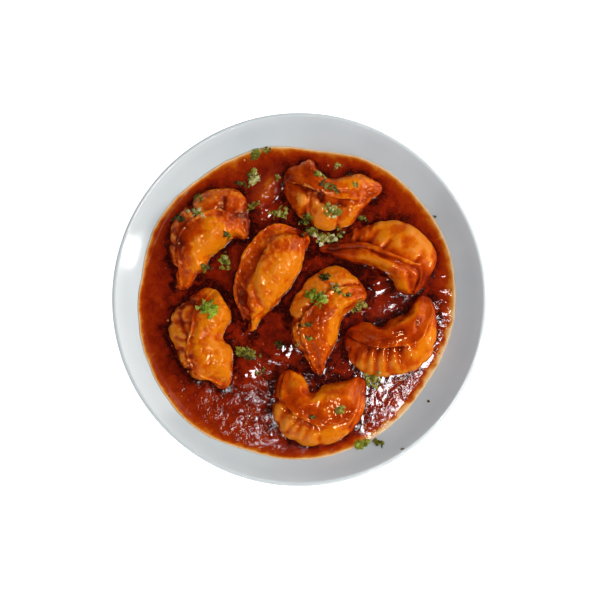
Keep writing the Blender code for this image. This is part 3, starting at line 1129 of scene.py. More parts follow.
MOMOS = (
    Momo(
        "momo_upper_left", (-64.5, 4.5), (-28.0, 35.5), 16.0, (4.0, 3.0),
        smooth=(7.5, 12, 12, 11.5, 10.5, 8.5, 3.5),
        seam=(1, 4, 7.5, 11, 12, 11, 8),
        pleated=(3, 6.5, 13, 18.5, 23.5, 24, 21.5),
        crest=(11.5, 18, 22, 21.5, 13),
        root_drop=0.3, edge_drop=1.2, fin=5.0, creases=(0.2, 0.36, 0.60), pleat_depth=3.8,
        ripple=0.7, wet=0.02, puckered=0.8, seed=3,
        # Film patches: partly real marks of sauce, partly painted shade where positive and painted light
        # where negative.
        stains_and_painted_shading=(
            Patch(-52.8, 53.9, (14.0, 7.0), 0.4), Patch(-67.3, 38.0, (7.0, 20.0), 0.5),
            Patch(-38.1, 50.5, (11.0, 9.0), 0.36), Patch(-53.1, 23.8, (20.0, 14.0), -0.16, 70),
            Patch(-63.7, 9.6, (6.0, 12.0), -0.12),
        ),
        folds=(
            Fold(((-62.5, 53.5), (-59.0, 48.4), (-56.7, 44.4)), 2.2, 1.3),
            Fold(((-41.6, 57.0), (-42.7, 51.8), (-44.9, 47.2)), 1.5, 1.6),
            Fold(((-27.9, 47.4), (-32.5, 47.4), (-35.8, 46.2)), 0.9, 1.4),
            Fold(((-71.5, 38.8), (-69.2, 36.0), (-68.0, 32.6)), 1.6, 1.1),
            Fold(((-35.7, 33.4), (-41.3, 32.8), (-44.7, 30.0)), 0.7, 2.2),
        ),
    ),
    Momo(
        "momo_top", (47.5, 63.0), (-9.0, 68.5), 0.5, (3.0, 6.5),
        smooth=(6, 8, 5.5, 3.5, 6, 13, 9.5),
        seam=(5, 9.5, 9.5, 8.5, 7, 5, 2),
        pleated=(7, 18.5, 24, 25, 24, 21, 14.5),
        crest=(13, 20.5, 22, 22.5, 15),
        root_drop=0.8, edge_drop=0.6, fin=4.5, creases=(0.42, 0.70), pleat_depth=3.6,
        ripple=0.9, ripples=2.5, wet=0.12, puckered=0.7, seed=11,
        # Film patches: partly real marks of sauce, partly painted shade where positive and painted light
        # where negative.
        stains_and_painted_shading=(
            Patch(2.6, 73.4, (13.0, 9.0), 0.26), Patch(-5.3, 57.9, (7.0, 14.0), 0.14),
            Patch(10.5, 56.8, (4.0, 4.0), 0.35), Patch(17.3, 46.5, (14.0, 8.0), -0.12),
            Patch(34.3, 61.9, (10.0, 6.0), -0.05),
        ),
        folds=(
            Fold(((3.7, 61.4), (4.3, 56.2), (3.2, 50.5), (1.5, 45.9)), 3.2, 2.0),
            Fold(((11.6, 58.7), (12.7, 55.9), (16.1, 54.1), (20.6, 53.0), (26.2, 52.4)), 1.4, 1.2),
            Fold(((-6.4, 69.0), (0.3, 63.8), (7.1, 60.4)), 1.8, 1.3),
            Fold(((37.6, 55.1), (39.9, 59.1), (42.8, 60.8)), 1.6, 1.3),
            Fold(((15.0, 64.6), (22.8, 63.5), (29.6, 65.7)), 0.9, 2.0),
            Fold(((9.4, 41.4), (10.5, 47.1), (13.9, 52.2)), -0.7, 1.3),
            Fold(((1.2, 57.0), (2.2, 55.4)), -3.6, 2.4),
            Fold(((12.2, 57.2), (12.8, 55.6)), 3.2, 1.5),
        ),
    ),
    Momo(
        "momo_middle", (-29.5, -19.5), (5.5, 36.5), 8.0, (5.0, 5.0),
        smooth=(7, 12, 14.5, 16, 15.5, 13.5, 9),
        seam=(5, 12, 15, 16.5, 17, 17, 12.5),
        pleated=(1, 6.5, 9.5, 12, 12, 12.5, 8),
        crest=(11.5, 19, 23, 22.5, 15),
        root_drop=4.4, edge_drop=6.0, fin=7.0, creases=(0.3, 0.5, 0.7), pleat_depth=0.3,
        ripple=0.15, ripples=4.0, wet=-0.02, puckered=1.0, tip_rounding=0.035, seed=23,
        # Film patches: partly real marks of sauce, partly painted shade where positive and painted light
        # where negative.
        stains_and_painted_shading=(
            Patch(-15.4, 8.5, (18.0, 10.0), -0.18, 58), Patch(-13.7, 26.6, (10.0, 8.0), 0.16),
            Patch(-31.6, 4.0, (18.0, 4.0), 0.28, 75), Patch(-27.7, -4.5, (5.0, 6.0), 0.2),
            Patch(-24.8, -14.0, (8.0, 5.0), -0.05),
        ),
        folds=(
            Fold(
                ((-21.0, 26.6), (-25.0, 19.8), (-26.6, 12.5), (-26.0, 5.1), (-24.3, -1.6), (-21.0, -6.1)),
                2.2, 1.7,
            ),
            Fold(((-0.2, 38.2), (2.6, 33.7), (5.4, 30.3)), 1.6, 1.1),
            Fold(((-28.8, -14.0), (-25.4, -12.3), (-20.9, -9.5)), 1.2, 1.0),
        ),
    ),
    Momo(
        "momo_upper_right", (11.0, 28.0), (66.5, 2.5), 10.0, (2.2, 5.0),
        smooth=(5.3, 7.2, 7.6, 7, 6.3, 6.3, 8),
        seam=(0.7, 2.4, 3.2, 3.8, 4.7, 6.5, 10),
        pleated=(2.5, 10, 15, 22.5, 25.5, 25, 21),
        crest=(11.5, 15.5, 21.5, 23, 13),
        root_drop=1.8, edge_drop=0.6, fin=3.0, creases=(0.26, 0.33, 0.40, 0.47), pleat_depth=1.6,
        ripple=0.4, wet=0.06, puckered=0.2, seed=31,
        # Film patches: partly real marks of sauce, partly painted shade where positive and painted light
        # where negative.
        stains_and_painted_shading=(
            Patch(22.9, 32.3, (14.0, 7.0), 0.42, -10), Patch(20.0, 23.8, (14.0, 4.0), 0.3),
            Patch(65.0, 15.3, (8.0, 12.0), 0.05), Patch(53.7, 6.8, (10.0, 8.0), 0.12),
            Patch(48.1, 19.8, (12.0, 3.0), 0.2, -30),
        ),
        folds=(
            Fold(
                ((39.4, 28.1), (43.8, 26.4), (50.5, 23.6), (56.0, 21.3), (61.6, 19.1), (67.2, 18.5)),
                -1.1, 0.9,
            ),
            Fold(
                ((40.6, 25.5), (47.8, 21.6), (55.1, 19.3), (60.1, 14.8), (62.8, 8.1), (63.9, 2.5)),
                1.4, 1.4,
            ),
            Fold(((42.2, 22.6), (46.6, 19.8), (52.2, 17.5), (56.1, 14.7)), -0.7, 1.0),
            Fold(((46.8, 27.8), (49.6, 30.0), (51.3, 32.9)), 1.2, 1.0),
            Fold(((61.2, 19.3), (65.1, 19.9), (68.0, 22.1)), 1.3, 1.0),
            Fold(((44.3, 38.5), (41.5, 34.6), (39.8, 31.1)), 1.7, 1.7),
            Fold(((29.8, 39.6), (28.7, 36.1), (28.6, 32.1)), 0.5, 1.0),
            Fold(((33.8, 40.7), (32.6, 36.7), (32.6, 32.1)), 0.5, 1.0),
            Fold(((37.7, 42.4), (36.6, 37.8), (36.6, 32.7)), 0.5, 1.0),
        ),
    ),
    Momo(
        "momo_right_of_middle", (12.0, -44.0), (37.5, 5.0), 12.0, (2.8, 5.5),
        smooth=(5.2, 8.8, 10.5, 9.4, 7.1, 6.5, 6),
        seam=(3.5, 7.5, 11, 12, 10.5, 8, 5),
        pleated=(4.8, 12, 16, 20.5, 22, 21.5, 18),
        crest=(11, 18.5, 22, 22.5, 15),
        root_drop=0.5, edge_drop=0.8, fin=5.0, creases=(0.22, 0.44, 0.62), pleat_depth=3.2,
        ripple=0.6, wet=0.0, puckered=0.9, seed=43,
        # Film patches: partly real marks of sauce, partly painted shade where positive and painted light
        # where negative.
        stains_and_painted_shading=(
            Patch(10.4, -12.9, (9.0, 12.0), 0.12), Patch(22.8, 9.6, (10.0, 6.0), -0.05),
            Patch(10.4, -35.2, (5.0, 8.0), -0.12), Patch(0.3, 4.0, (6.0, 10.0), -0.05),
        ),
        folds=(
            Fold(((3.7, 3.8), (0.3, 1.6), (-1.3, 0.4)), 1.6, 1.3),
            Fold(((0.9, -11.8), (-1.9, -12.9), (-4.1, -14.0)), 1.8, 1.2),
            Fold(((22.6, 4.7), (25.4, 7.5), (29.3, 8.7), (33.8, 8.7)), 2.6, 1.1),
            Fold(((24.3, 0.3), (20.4, -3.6), (18.2, -8.6)), 0.8, 1.8),
            Fold(((11.5, 16.2), (13.8, 11.7), (17.1, 8.3)), 1.2, 1.6),
        ),
    ),
    Momo(
        "momo_lower_right", (71.5, 1.5), (26.0, -20.0), 12.0, (4.5, 4.5),
        smooth=(6.5, 5.6, 7.5, 8.4, 6.5, 9.2, 9),
        seam=(6, 8.5, 10.5, 8.5, 7, 4.5, 2.5),
        pleated=(9, 15.3, 21.3, 23, 22, 20.2, 16),
        crest=(12, 19.5, 22, 20, 12),
        root_drop=0.9, edge_drop=1.0, fin=4.6, creases=(0.32, 0.43, 0.53, 0.63, 0.73, 0.83), pleat_depth=1.1,
        ripple=0.5, wet=0.08, puckered=0.25, seed=57,
        # Film patches: partly real marks of sauce, partly painted shade where positive and painted light
        # where negative.
        stains_and_painted_shading=(
            Patch(42.3, -21.3, (22.0, 7.0), 0.18), Patch(28.3, -26.9, (5.0, 10.0), 0.15),
            Patch(42.2, -39.7, (16.0, 5.0), -0.15), Patch(70.2, -26.9, (6.0, 14.0), -0.15),
            Patch(66.4, -12.9, (1.6, 3.0), 0.4),
        ),
        folds=(
            Fold(((27.7, -29.1), (26.0, -33.0), (26.0, -37.5)), 0.9, 1.0),
            Fold(((32.2, -29.1), (31.0, -33.6), (30.4, -39.7)), 1.2, 1.2),
            Fold(((38.9, -29.1), (37.7, -33.6), (37.1, -40.8)), 1.3, 1.3),
            Fold(((44.5, -29.1), (42.7, -34.1), (42.7, -41.9)), 1.2, 1.2),
            Fold(((50.0, -29.7), (48.9, -35.2), (49.4, -41.9)), 1.0, 1.2),
            Fold(((56.2, -28.0), (55.6, -34.1), (56.7, -40.2)), 0.8, 1.2),
            Fold(((64.8, -14.3), (64.8, -17.6)), 1.0, 0.7),
            Fold(((58.3, -5.2), (56.1, -10.8), (52.1, -14.2)), 1.2, 2.4),
            Fold(((28.2, -20.3), (32.6, -24.2), (37.6, -25.8)), 0.9, 1.1),
        ),
    ),
    Momo(
        "momo_bottom", (35.0, -44.5), (-8.0, -41.0), 14.0, (4.0, 4.5),
        smooth=(5.7, 7.9, 8.8, 7.6, 2.5, 6.1, 7),
        seam=(4.7, 11.7, 13.9, 15.4, 13.9, 11.6, 7.6),
        pleated=(9, 16.5, 23, 26.5, 26, 22.5, 11.5),
        crest=(12, 20, 21.5, 20.5, 14),
        root_drop=0.7, edge_drop=0.6, fin=4.4, creases=(0.5, 0.62, 0.73, 0.84), pleat_depth=1.8,
        ripple=0.4, wet=0.03, puckered=0.4, seed=71,
        # Film patches: partly real marks of sauce, partly painted shade where positive and painted light
        # where negative.
        stains_and_painted_shading=(
            Patch(-9.7, -57.5, (5.0, 10.0), 0.15), Patch(0.3, -57.5, (6.0, 6.0), 0.15),
            Patch(-5.2, -46.4, (7.0, 8.0), -0.1), Patch(17.0, -76.8, (16.0, 6.0), -0.12),
            Patch(25.4, -49.1, (12.0, 6.0), -0.05),
        ),
        folds=(
            Fold(((-10.2, -58.6), (-13.0, -57.5), (-15.8, -56.9)), 1.3, 1.0),
            Fold(((-6.3, -63.6), (-9.7, -65.2), (-13.6, -70.8)), 1.4, 1.3),
            Fold(((-0.8, -67.4), (-4.1, -70.8), (-7.4, -75.2)), 1.2, 1.3),
            Fold(((5.9, -70.7), (3.7, -75.1), (1.4, -80.1)), 0.9, 1.4),
            Fold(((35.8, -54.1), (34.1, -60.8), (31.3, -67.4), (28.5, -72.9)), 1.5, 1.0),
            Fold(((-4.1, -42.0), (-0.8, -47.5), (2.5, -51.9)), 0.7, 2.2),
        ),
    ),
    Momo(
        "momo_lower_left", (-40.5, -51.5), (-48.5, 5.5), 9.0, (3.2, 4.5),
        smooth=(9.5, 12.5, 13.5, 10.5, 12.5, 15, 13),
        seam=(4.4, 11, 11.3, 9.4, 7.5, 6, 3.4),
        pleated=(5.2, 12.6, 16, 17.5, 20, 17, 10),
        crest=(12, 20.5, 22, 21.5, 15),
        root_drop=0.5, edge_drop=1.8, fin=4.8, creases=(0.16, 0.30, 0.46, 0.66, 0.84), pleat_depth=2.8,
        ripple=0.5, wet=-0.18, puckered=0.8, seed=89,
        # Film patches: partly real marks of sauce, partly painted shade where positive and painted light
        # where negative.
        stains_and_painted_shading=(
            Patch(-65.1, -15.7, (7.0, 24.0), 0.5), Patch(-58.0, -1.6, (4.0, 8.0), 0.2),
            Patch(-48.8, -24.1, (8.0, 14.0), -0.1), Patch(-44.3, -41.9, (7.0, 8.0), -0.1),
            Patch(-43.4, -1.6, (6.0, 8.0), -0.1),
        ),
        folds=(
            Fold(((-60.3, -3.2), (-63.7, -2.7), (-67.0, -4.9)), 1.6, 1.3),
            Fold(((-68.2, -8.2), (-67.0, -13.9), (-64.7, -19.5), (-60.8, -22.3)), 1.7, 1.1),
            Fold(((-70.3, -22.9), (-66.9, -24.0), (-62.5, -24.0)), 1.5, 1.1),
            Fold(((-66.9, -29.6), (-64.1, -31.8), (-61.2, -34.1)), 1.4, 1.1),
            Fold(((-40.8, -20.3), (-46.4, -21.4), (-52.0, -20.9)), 1.3, 2.4),
        ),
    ),
)


# ---------------------------------------------------------------- sauce


def with_height(plan: Array, height: Array) -> Array:
    """Gives each point in plan its height."""
    return np.concatenate([plan, height[..., None]], -1)


def border(index: Array) -> Array:
    """Lists the outermost numbers of a grid, once round."""
    return np.concatenate([index[:-1, 0], index[-1, :-1], index[:0:-1, -1], index[0, :0:-1]])


def cell_faces(index: Array) -> list[list[int]]:
    """Lists the four corners of each cell in a grid of vertex numbers."""
    corners = (index[:-1, :-1], index[1:, :-1], index[1:, 1:], index[:-1, 1:])
    return np.stack(corners, 2).reshape(-1, 4).tolist()


@dataclass(frozen=True)
class Sauce:
    """The pool of sauce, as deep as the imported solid, with a rim that thins out on the plate.

    mounds are lumps of filling that lift its surface, pale marks where they show through, and
    gritty the places where chopped garlic and chilli lie close under it. The rim is oiliest
    towards oil_side and widest towards deep_side. The surface is fine, and the underside is made
    from every tenth point, as coarse says.
    """

    level: float = 15.0
    radius: float = 89.9
    waves: tuple[tuple[int, float, float], ...] = (
        (1, 2.2, -156), (2, 1.1, 62), (3, 0.7, 58), (4, 0.5, 137), (5, 0.35, -7), (6, 0.3, -78),
        (7, 0.25, 24), (8, 0.35, 89), (9, 0.3, -116),
    )
    cells: int = 290
    mounds: tuple[Patch, ...] = (
        Patch(-18.5, 63.0, (12.5, 5.5), 2.2, 52), Patch(-21.0, 51.0, (5.0, 4.0), 1.2),
        Patch(-12.0, -28.0, (6.0, 6.0), 0.8), Patch(-30.0, -42.0, (5.0, 5.0), 0.7),
        Patch(44.0, 10.0, (5.0, 5.0), 0.8), Patch(-36.0, 18.0, (5.0, 5.0), 0.8),
    )
    pale: tuple[Patch, ...] = (
        Patch(-18.5, 63.0, (12.5, 5.5), 0.62, 52),
    )
    gritty: tuple[Patch, ...] = (
        Patch(62.0, -55.0, (22.0, 13.0), 0.9, 50), Patch(79.0, -14.0, (22.0, 8.0), 0.9, 80),
        Patch(44.0, -66.0, (10.0, 10.0), 0.8), Patch(-14.0, -72.0, (17.0, 8.0), 0.6, -6),
        Patch(-46.0, -60.0, (24.0, 14.0), 0.45, -40), Patch(-24.0, -42.0, (9.0, 9.0), 0.4),
        Patch(-20.0, 56.0, (7.0, 7.0), 0.7), Patch(-36.0, 24.0, (8.0, 12.0), 0.2),
    )
    bed_gap: float = 0.06
    underside_share: float = 0.999
    least_film: float = 0.1
    oil_side: float = math.radians(-36)
    deep_side: float = math.radians(55)
    # How far the painted shade round each dumpling reaches.
    painted_shade_reach: float = 4.5
    climb: float = 0.6
    waterline_band: float = 1.0
    coarse: int = 10
    node: str = "sauce"

    def edge(self, angle: Array) -> Array:
        """Radius of the pool's rim at an angle.

        Args:
            angle: Angles round the dish's middle.

        Returns:
            The radius in millimetres at each angle.
        """
        ragged = 40 * np.stack([np.cos(angle), np.sin(angle), 0 * angle], -1)
        radius = self.radius + 0.3 * grain(ragged, 9.0, 5, 3)
        for turns, reach, phase in self.waves:
            radius = radius + reach * np.cos(turns * angle - math.radians(phase))
        return radius

    def disc(self) -> Array:
        """Even grid of points on a unit disc, from a square grid bent round.

        Returns:
            Points in plan, none further than 1 from the middle.
        """
        side = np.linspace(-1, 1, self.cells + 1)
        x, y = np.meshgrid(side, side, indexing="ij")
        wide = np.abs(x) > np.abs(y)
        far = np.where(wide, x, y)
        ratio = np.where(wide, y / np.where(x == 0, 1, x), x / np.where(y == 0, 1, y))
        angle = np.where(wide, math.pi / 4 * ratio, math.pi / 2 - math.pi / 4 * ratio)
        return np.stack([far * np.cos(angle), far * np.sin(angle)], 2)

    def grit(self, plan: Array) -> Array:
        """How much chopped garlic and chilli lies near the surface, from 0 to 1.

        Args:
            plan: Points in plan.

        Returns:
            How gritty the sauce is at each point.
        """
        flat = with_height(plan, 0 * plan[..., 0])
        uneven = 0.3 + 1.4 * ease(grain(flat, 8.0, 13, 2), -0.5, 0.6)
        return np.clip((0.05 + painted(self.gritty, plan)) * uneven, 0.03, 1)

    def build(self, plate: Plate, momos: list[bpy.types.Object]) -> bpy.types.Object:
        """Pours the sauce round the dumplings.

        Args:
            plate: The plate that holds it.
            momos: The dumplings that stand in it.

        Returns:
            The sauce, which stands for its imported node.
        """
        unit = self.disc()
        share = np.linalg.norm(unit, axis=2)
        angle = np.arctan2(unit[..., 1], unit[..., 0])
        rim = self.edge(angle)
        plan = unit * rim[..., None]
        inward = (1 - share) * rim
        bed = plate.height(share * rim)
        grit = self.grit(plan)
        gap = self.gap_to(momos, plan)
        thick = self.thickness(plan, inward, grit, gap, bed)
        surface = with_height(plan, bed + thick)
        obj = self.skin(surface, with_height(plan * self.underside_share, bed + self.bed_gap))
        # depth also carries painted shade close to each dumpling.
        depth = self.depth_and_painted_shade(plan, angle, inward, gap, thick)
        # The thin oily rim mirrors the lamps less than the pool does.
        wet = np.clip(0.08 + ease(inward, 4.0, 8.0) + 1.5 * grit, 0, 1)
        for name, values in (("depth", depth), ("grit", grit), ("wet", wet)):
            add_attribute(obj, name, np.concatenate([values.ravel(), self.below_values(values)]))
        open_top = grit * self.uncovered(momos, surface) * ease(inward, 0.8, 2.5)
        add_attribute(obj, "open", np.concatenate([open_top.ravel(), 0 * self.below_values(grit)]))
        face_outwards(obj)
        wear(obj, [self.node])
        return obj

    def thickness(self, plan: Array, inward: Array, grit: Array, gap: Array, bed: Array) -> Array:
        """How thick the sauce lies on the plate.

        Args:
            plan: Points of the pool in plan.
            inward: How far each lies inside the rim.
            grit: How gritty the sauce is there.
            gap: How far the nearest dumpling's waterline is.
            bed: Height of the plate there.

        Returns:
            Thickness in millimetres at each point.
        """
        flat = with_height(plan, 0 * inward)
        # A slow swell, clumps where it is gritty, the mounds, and a slight climb up each dumpling.
        clumps = grain(flat, 5.5, 43, 2) + 0.25 * grain(flat, 2.4, 44)
        rise = 0.08 * grain(flat, 14.0, 41) + (0.02 + 0.13 * grit) * clumps
        rise += painted(self.mounds, plan) * (1 + 0.25 * grain(flat, 4.0, 47))
        rise += 0.05 * np.exp(-gap / 1.5) * (1 + 0.8 * grain(flat, 5.0, 59))
        # The rim is a film of oil, and from there the sauce deepens no faster than it can stand.
        film = 0.12 + 0.6 * ease(inward, 0.0, 2.5) + 0.15 * grit * grain(flat, 1.8, 53)
        slope = 0.12 + 0.8 * inward
        return np.maximum(np.maximum(film, self.least_film), np.minimum(self.level + rise - bed, slope))

    def depth_and_painted_shade(self, plan: Array, angle: Array, inward: Array, gap: Array, thick: Array) -> Array:
        """How deep the sauce looks, from 0 where only oil is left to 1 where painted shade darkens it next
        to a dumpling.

        Args:
            plan: Points of the pool in plan.
            angle: The angle of each.
            inward: How far each lies inside the rim.
            gap: How far the nearest dumpling's waterline is.
            thick: Thickness of the sauce.

        Returns:
            The depth that the finish reads.
        """
        flat = with_height(plan, 0 * inward)
        # The colour deepens along the rim, and then with the sauce's own thickness.
        far_side = ease(np.cos(angle - self.deep_side), -0.2, 0.8)
        band = (2.2 + 3.2 * far_side) * (1 + 0.3 * grain(flat, 9.0, 61, 2))
        depth = 0.42 * (1 - np.exp(-np.maximum(inward - 0.4, 0) / band))
        depth += 0.24 * (1 - np.exp(-thick / 4.0)) * ease(inward, 0.2, 2.5)
        # Patches of bare oil break up the rim, and close to each dumpling the sauce is painted darker:
        # painted shade.
        oily = ease(np.cos(angle - self.oil_side), 0.6, 0.95) * ease(inward, 7.0, 2.5)
        depth = depth * (1 - 0.75 * oily * ease(grain(flat, 8.0, 67, 2), -1.2, 0.2))
        depth = depth + 0.36 * np.exp(-((gap / self.painted_shade_reach) ** 1.5)) * ease(inward, 1.0, 8.0)
        return depth * (1 - painted(self.pale, plan))

    def below_values(self, values: Array) -> Array:
        """Values for the underside's vertices, in the order that skin adds them.

        Args:
            values: Values on the surface grid.

        Returns:
            The values round the border, then those of the coarse inner grid.
        """
        rim = border(self.point_numbers())
        inner = values[self.coarse : -self.coarse : self.coarse, self.coarse : -self.coarse : self.coarse]
        return np.concatenate([values.ravel()[rim], inner.ravel()])

    def point_numbers(self) -> Array:
        """Numbers of the surface's vertices, as a grid."""
        return np.arange((self.cells + 1) ** 2).reshape(self.cells + 1, -1)

    def skin(self, surface: Array, floor: Array) -> bpy.types.Object:
        """Closes the fine surface with a coarse underside.

        Args:
            surface: Grid of the upper face.
            floor: Grid of the underside, of which only every few points are used.

        Returns:
            The closed pool.
        """
        index = self.point_numbers()
        rim = border(index)
        base, count = index.size, len(rim)
        under = base + np.arange(count)
        walls = np.stack([rim, np.roll(rim, -1), np.roll(under, -1), under], 1)
        step = self.coarse
        inner = floor[step:-step:step, step:-step:step]
        inner_index = base + count + np.arange(inner[..., 0].size).reshape(inner.shape[:2])
        underside = [[near, side, far, ahead] for near, ahead, far, side in cell_faces(inner_index)]
        faces = cell_faces(index) + walls.tolist() + underside
        faces += self.stitch(base, count, border(inner_index))
        points = np.concatenate([surface.reshape(-1, 3), floor.reshape(-1, 3)[rim], inner.reshape(-1, 3)])
        return make_object("chilli_sauce_pool", points, faces, ChilliSauce().material())

    def stitch(self, base: int, count: int, ring: Array) -> list[tuple[int, ...]]:
        """Joins the fine border of the underside to the coarse grid inside it.

        Args:
            base: Number of the underside's first border vertex.
            count: How many border vertices there are.
            ring: Numbers round the coarse grid.

        Returns:
            The triangles between the two.
        """
        faces = []
        side = count // 4
        inner_side = len(ring) // 4
        for quarter in range(4):
            for cell in range(side):
                outer = base + quarter * side + cell
                outer_next = base + (quarter * side + cell + 1) % count
                here = min(max(round((cell - self.coarse) / self.coarse), 0), inner_side)
                after = min(max(round((cell + 1 - self.coarse) / self.coarse), 0), inner_side)
                near = int(ring[(quarter * inner_side + here) % len(ring)])
                far = int(ring[(quarter * inner_side + after) % len(ring)])
                faces.append((outer_next, outer, near))
                if near != far:
                    faces.append((outer_next, near, far))
        return faces

    def uncovered(self, momos: list[bpy.types.Object], surface: Array) -> Array:
        """Marks with 1 the points of the surface that no dumpling covers, and with 0 the others.

        Args:
            momos: The dumplings.
            surface: Points of the surface in millimetres.

        Returns:
            1 or 0 for each point.
        """
        cover = ground_tree(momos)
        flat = surface.reshape(-1, 3) * MM
        tops = [cover.ray_cast(Vector((x, y, RAY_HEIGHT)), DOWN)[0] for x, y, _ in flat]
        clear = [top is None or top.z < z for top, z in zip(tops, flat[:, 2])]
        return np.array(clear, float).reshape(surface.shape[:-1])

    def gap_to(self, momos: list[bpy.types.Object], plan: Array) -> Array:
        """Distance in plan from each point to the nearest dumpling's waterline.

        Args:
            momos: The dumplings.
            plan: Points in plan.

        Returns:
            The distance of each point in millimetres.
        """
        waterline = []
        for momo in momos:
            points = np.empty(len(momo.data.vertices) * 3)
            momo.data.vertices.foreach_get("co", points)
            points = points.reshape(-1, 3) / MM
            above = points[:, 2] - self.level - self.climb
            waterline.append(points[np.abs(above) < self.waterline_band, :2])
        found = np.concatenate(waterline)
        tree = KDTree(len(found))
        for index, (x, y) in enumerate(found):
            tree.insert((x, y, 0.0), index)
        tree.balance()
        flat = plan.reshape(-1, 2)
        gaps = np.array([tree.find((x, y, 0.0))[2] for x, y in flat])
        return gaps.reshape(plan.shape[:-1])


# ---------------------------------------------------------------- garnish


def open_tree(name: str, sockets: dict[str, str]) -> tuple[bpy.types.NodeTree, bpy.types.NodeOutputs]:
    """Starts a Geometry Nodes tree that takes the named inputs and gives back a mesh.

    Args:
        name: The tree's name.
        sockets: For each input's name the kind of its socket.

    Returns:
        The tree, and its inputs to link from.
    """
    tree = bpy.data.node_groups.new(name, "GeometryNodeTree")
    for socket, kind in sockets.items():
        tree.interface.new_socket(socket, in_out="INPUT", socket_type=f"NodeSocket{kind}")
    tree.interface.new_socket("Grown", in_out="OUTPUT", socket_type="NodeSocketGeometry")
    return tree, add_node(tree, "NodeGroupInput").outputs


def close_tree(tree: bpy.types.NodeTree, laid: bpy.types.Node, finish: bpy.types.NodeSocket) -> None:
    """Ends a tree: its instances become one mesh, which takes the finish.

    Args:
        tree: The tree to end.
        laid: The node that gives the instances.
        finish: The socket that gives the material.
    """
    real = add_node(tree, "GeometryNodeRealizeInstances", {0: laid})
    dressed = add_node(tree, "GeometryNodeSetMaterial", {0: real, "Material": finish})
    add_node(tree, "NodeGroupOutput", {0: dressed})


class Cut(Enum):
    """Kinds of chopped coriander bit, in the order of their names in the collection."""

    FAN = 0
    LOBE = 1
    FLAKE = 2
    STRIP = 3
    STALK = 4


@dataclass(frozen=True)
class LeafBit:
    """The form of one leaf bit, one unit long: half-widths along its midrib, curl and fold."""

    widths: tuple[float, ...]
    curl: float
    fold: float
    twist: float = 0.0
    thickness: float = 0.05
    sweep: float = 0.34

    def points(self) -> tuple[Array, list[tuple[int, ...]]]:
        """Lays out a thin closed blade.

        Returns:
            Its points, and its faces as point numbers.
        """
        rows = len(self.widths)
        along = np.linspace(-0.5, 0.5, rows)[:, None]
        across = np.linspace(-1, 1, 3)[None, :]
        side = np.array(self.widths)[:, None] * across
        turn = self.twist * along
        x = along + self.sweep * np.abs(side)
        arch = self.curl * (0.25 - along**2) * 2
        z = arch + self.fold * np.abs(side) + side * np.sin(turn)
        upper = np.stack([x, side * np.cos(turn), z], 2)
        grid = np.concatenate([upper, upper[:, ::-1] - np.array([0, 0, self.thickness])], 1)
        return grid, ring_faces(rows, 6)


@dataclass(frozen=True)
class Sprig:
    """A small heap of chopped coriander: where it lies, how it spreads and how fresh it looks.

    tone is 0 where the leaf is soaked and dark, and 1 where it is dry and pale. crisp is 0 where
    the hot sauce has turned it olive, and 1 where it is still bright green.
    """

    x: float
    y: float
    reach: tuple[float, float]
    count: int
    tone: float
    size: float = 3.2
    turn: float = 0.0
    cuts: tuple[Cut, ...] = (Cut.FAN, Cut.LOBE, Cut.FLAKE, Cut.FAN, Cut.STRIP)
    crisp: float = 0.2


